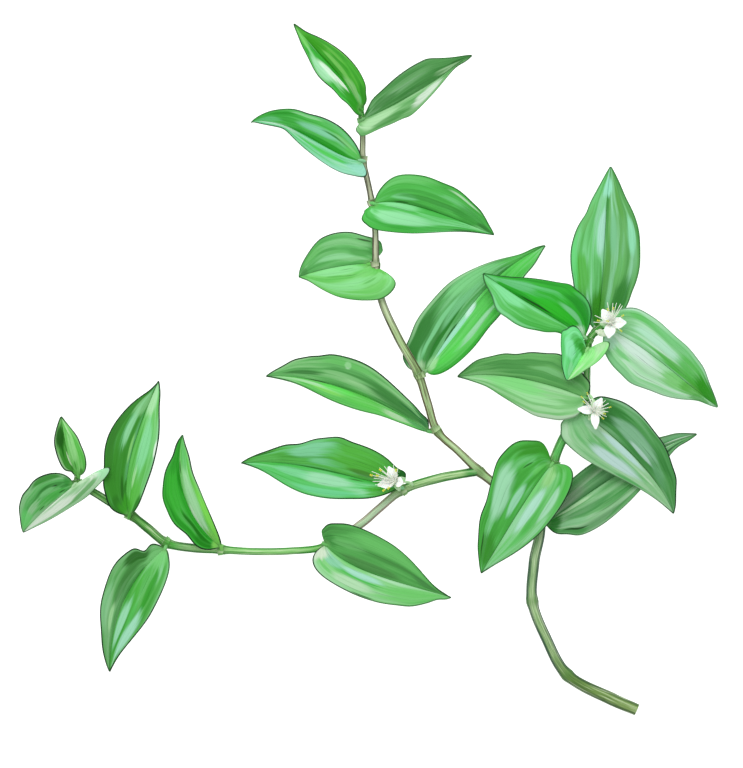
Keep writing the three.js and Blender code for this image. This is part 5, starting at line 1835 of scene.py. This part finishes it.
            (LEFT, 0.72, 0.08, -0.8), (RIGHT, 0.52, 0.06, 1.2), (RIGHT, 0.7, 0.07, -0.8),
        ),
    ),
    Leaf(
        "leaf_right_6",
        Blade((71.2, 9.9, 13), (37.5, 31.2, 8), ((0.33, 0, 14), (0.66, 0.8, 11.5)),
              ((0.25, 7.5, 2), (0.9, 15.3, 2)), ((0.05, -21, -1), (0.6, -9, 1.5))),
        ("#3daa45", "#58be62", "#86dca2"), ("#1a942a", "#30b03a", "#6cc88a"),
        (
            (0.35, -0.22, 0.28, 0.18, "#1fb528", 0.8), (0.22, -0.76, 0.24, 0.18, "#1a8c2a", 0.85),
            (0.22, -0.45, 0.2, 0.08, "#7fce97", 0.7), (0.75, -0.5, 0.15, 0.28, "#66c080", 0.8),
            (0.72, 0.25, 0.2, 0.25, "#86e0a2", 0.8), (0.35, 0.3, 0.2, 0.15, "#5dc063", 0.6),
            (0.35, 0.75, 0.2, 0.2, "#41ac48", 0.6), (0.6, 0.9, 0.25, 0.1, "#84d79a", 0.6),
            (0.5, -0.08, 0.17, 0.03, "#0f4a12", 0.95), (0.05, -0.1, 0.08, 0.5, "#c3e8cc", 0.8),
            (0.93, 0, 0.08, 0.7, "#74d08c", 0.6),
        ),
        (
            (LEFT, 0.22, 0.07, -1.3), (LEFT, 0.34, 0.06, -0.5), (LEFT, 0.58, 0.07, -0.6),
            (LEFT, 0.78, 0.11, -1.3), (RIGHT, 0.48, 0.05, 0.7), (RIGHT, 0.62, 0.08, -0.4),
        ),
    ),
    Leaf(
        "leaf_right_7",
        Blade((74.5, 12.2, 10.6), (79.7, 66.6, 0.3), ((0.33, -1.5, 11.9), (0.66, 1, 8.5)),
              ((0.22, 14.4, 1.5), (0.63, 13.6, 2.5)), ((0.12, -17.2, 0.5), (0.78, -14.8, 2.5))),
        ("#419d3a", "#70c77f", "#a9dfc8"), ("#3e8e43", "#5eaa5e", "#96d4b2"),
        (
            (0.1, 0.1, 0.16, 0.5, "#2a8a16", 0.95), (0.36, 0.68, 0.15, 0.26, "#42ae30", 0.8),
            (0.45, 0.9, 0.18, 0.12, "#62d57c", 0.7), (0.62, 0.12, 0.15, 0.15, "#a9e0ca", 0.95),
            (0.7, 0.75, 0.09, 0.16, "#62b262", 0.7), (0.76, 0.4, 0.1, 0.14, "#8fd0a8", 0.6),
            (0.88, 0.05, 0.07, 0.4, "#98e0c2", 0.9), (0.32, -0.13, 0.28, 0.1, "#46953a", 0.8),
            (0.24, -0.68, 0.18, 0.24, "#2a7a2e", 0.85), (0.4, -0.5, 0.1, 0.14, "#5fb25e", 0.6),
            (0.6, -0.25, 0.15, 0.1, "#74bc8c", 0.8), (0.6, -0.76, 0.11, 0.14, "#8fdcb4", 0.85),
            (0.78, -0.55, 0.1, 0.12, "#4a9c38", 0.6),
        ),
        (
            (LEFT, 0.34, 0.08, -0.5), (LEFT, 0.54, 0.07, 0.3), (LEFT, 0.73, 0.05, -0.7),
            (RIGHT, 0.32, 0.05, -0.35), (RIGHT, 0.46, 0.06, 0.2), (RIGHT, 0.8, 0.06, -0.3),
        ),
        crease_shade=0.5, rim=0.85,
    ),
    Leaf(
        "leaf_right_8",
        Blade((77.6, 13.2, 15.1), (115, -12.7, 0.3), ((0.3, 3, 16.8), (0.66, 0, 11)),
              ((-0.15, 18, 2), (0.8, 13.6, 3)), ((0.1, -16.6, 0.5), (0.7, -8.6, 3))),
        ("#66c46c", "#94d8a0", "#c6eed2"), ("#7aca82", "#a3deac", "#d0eeda"),
        (
            (0.15, 0.5, 0.15, 0.4, "#85c98e", 0.7), (0.45, 0.45, 0.2, 0.16, "#b8ebce", 0.85),
            (0.55, 0.8, 0.2, 0.12, "#7fd08c", 0.6), (0.64, 0.18, 0.24, 0.12, "#3ab42e", 0.85),
            (0.74, 0.5, 0.16, 0.35, "#46bc40", 0.75), (0.88, 0.4, 0.14, 0.6, "#1f9a12", 0.95),
            (0.3, -0.2, 0.2, 0.2, "#cfeadb", 0.9), (0.5, -0.45, 0.25, 0.1, "#b8e0c0", 0.6),
            (0.3, -0.9, 0.3, 0.12, "#6cbd79", 0.7), (0.66, -0.25, 0.12, 0.3, "#66c85c", 0.75),
            (0.78, -0.2, 0.1, 0.4, "#4fb040", 0.8), (0.86, -0.6, 0.08, 0.4, "#4aa448", 0.8),
            (0.1, -0.6, 0.1, 0.3, "#b5e2cc", 0.7),
        ),
        (
            (LEFT, 0.3, 0.06, 0.4), (LEFT, 0.54, 0.1, -0.9), (LEFT, 0.76, 0.05, 0.5),
            (RIGHT, 0.46, 0.06, 0.6), (RIGHT, 0.6, 0.06, -0.3), (RIGHT, 0.85, 0.07, -0.7),
        ),
        crease_shade=0.45, rim=0.6,
    ),
)

FLOWERS = (
    Flower(
        "flower_left", foot=(13.8, -39.0, 3.5), elbow=(13.6, -37.6, 7.0), heart=(8.6, -37.0, 9.6),
        petals=((-2.2, 4.8, 0.9), (-5.8, -1.4, 0.6), (2.6, -0.6, 3.0)),
        anthers=(
            (-7.9, 2.0, 1.8), (-5.9, 1.8, 2.6), (-4.9, 3.7, 2.2), (0.2, 3.6, 2.8), (-3.8, -3.0, 2.0),
            (-2.2, -2.3, 2.6),
        ),
        bare_tips=(
            (-7.7, 3.2, 1.6), (-7.4, -0.1, 1.5), (-6.6, -1.2, 1.4), (-3.6, 4.9, 1.8), (-0.6, 5.4, 1.8),
            (1.0, 5.0, 1.9), (-7.0, 1.0, 1.8), (-5.2, 4.4, 1.5),
        ),
        petal_half_width=1.8,
        lobe_length=0.4,
        lobe_radius=0.24,
    ),
    Flower(
        "flower_top_right", foot=(77.5, 14.6, 12.9), elbow=(78.4, 15.6, 16.0), heart=(79.1, 14.8, 18.6),
        petals=((-2.9, 4.5, 1.0), (5.0, 0.2, 0.8), (-0.8, -4.9, 0.8)),
        anthers=(
            (-1.1, 4.4, 2.2), (0.7, 4.8, 2.4), (3.8, 2.4, 2.4), (-4.2, 0.8, 2.0), (-1.2, 0.6, 3.0),
            (3.2, -2.5, 2.2),
        ),
        bare_tips=(
            (-1.2, 6.8, 1.6), (0.6, 6.6, 1.8), (1.8, 6.6, 1.6), (3.1, 6.3, 1.7), (3.7, 5.7, 1.5),
            (-5.3, 2.5, 1.6), (-5.7, 0.3, 1.5),
        ),
        petal_half_width=2.0,
        lobe_length=0.34,
        lobe_radius=0.2,
    ),
    Flower(
        "flower_right", foot=(71.4, -9.0, 10.4), elbow=(73.0, -9.6, 14.2), heart=(73.8, -13.8, 16.6),
        petals=((-5.5, 0.5, 0.8), (2.4, 4.1, 1.0), (0.4, -6.1, 0.6)),
        anthers=(
            (-3.5, 2.8, 2.2), (3.2, -1.0, 2.6), (-4.2, 4.4, 2.0), (5.0, 1.1, 2.0), (2.7, -2.5, 2.2),
            (-2.4, 5.6, 2.2),
        ),
        bare_tips=(
            (4.4, -0.4, 1.6), (4.6, 2.4, 1.7), (3.6, 3.4, 1.8), (-0.8, 3.9, 2.4), (3.9, -2.0, 1.4),
        ),
        petal_half_width=1.5,
        lobe_length=0.3,
        lobe_radius=0.18,
    ),
)

BUD = Bud("bud_right", (74.4, 12.0, 12.7), (74.8, 12.6, 15.6), (78.2, 10.4, 17.0), 1.2)

SEED_STEP = 1.7


@dataclass
class Studio:
    """A white board under soft light, and the camera straight above it."""

    board_size: float = 6.0
    board_drop: float = 0.0001
    world_strength: float = 0.78
    key_power: float = 26.0
    key_size: float = 1.4
    key_place: Point = (-0.35, 1.35, 1.5)
    lens: float = 300.0
    sensor: float = 36.0
    far: float = 20.0
    centre: tuple[float, float] = (0.0008, -0.0051)
    view_height: float = 0.25344

    def build(self) -> None:
        """Makes the board, the world, the key light and the camera."""
        scene = bpy.context.scene
        half = self.board_size / 2
        corners = [(-half, -half), (half, -half), (half, half), (-half, half)]
        mesh = bpy.data.meshes.new("studio_board")
        mesh.from_pydata([(x, y, -self.board_drop) for x, y in corners], [], [(0, 1, 2, 3)])
        mesh.materials.append(BoardFinish().material())
        board = bpy.data.objects.new("studio_board", mesh)
        world = bpy.data.worlds.new("soft_white_room")
        world.use_nodes = True
        sky = world.node_tree.nodes["Background"]
        sky.inputs["Color"].default_value = linear("#ffffff")
        sky.inputs["Strength"].default_value = self.world_strength
        lamp = bpy.data.lights.new("key_softbox", "AREA")
        lamp.energy = self.key_power
        lamp.size = self.key_size
        key = bpy.data.objects.new("key_softbox", lamp)
        key.location = self.key_place
        key.rotation_euler = (-Vector(self.key_place)).to_track_quat("-Z", "Y").to_euler()
        optics = bpy.data.cameras.new("camera_above")
        optics.lens = self.lens
        optics.sensor_fit = "VERTICAL"
        optics.sensor_height = self.sensor
        optics.clip_end = self.far
        camera = bpy.data.objects.new("camera_above", optics)
        camera.location = (*self.centre, self.view_height * self.lens / self.sensor)
        for thing in (board, key, camera):
            scene.collection.objects.link(thing)
        scene.world = world
        scene.camera = camera
        scene.view_settings.view_transform = "Standard"


def main() -> None:
    """Builds the sprig piece by piece, then the studio round it."""
    logging.basicConfig(level=logging.INFO, format="%(message)s")
    finishes = FlowerFinishes.made()
    stem = Stem((MAIN, LEFT_SHOOT, RIGHT_SHOOT))
    skin = stem.finish.material()
    stem.build(skin)
    for order, leaf in enumerate(LEAVES, 1):
        leaf.build(stem, SEED_STEP * order, skin, finishes.filament)
    for flower in FLOWERS:
        flower.build(finishes)
    BUD.build(finishes.bud)
    Studio().build()


if __name__ == "__main__":
    main()
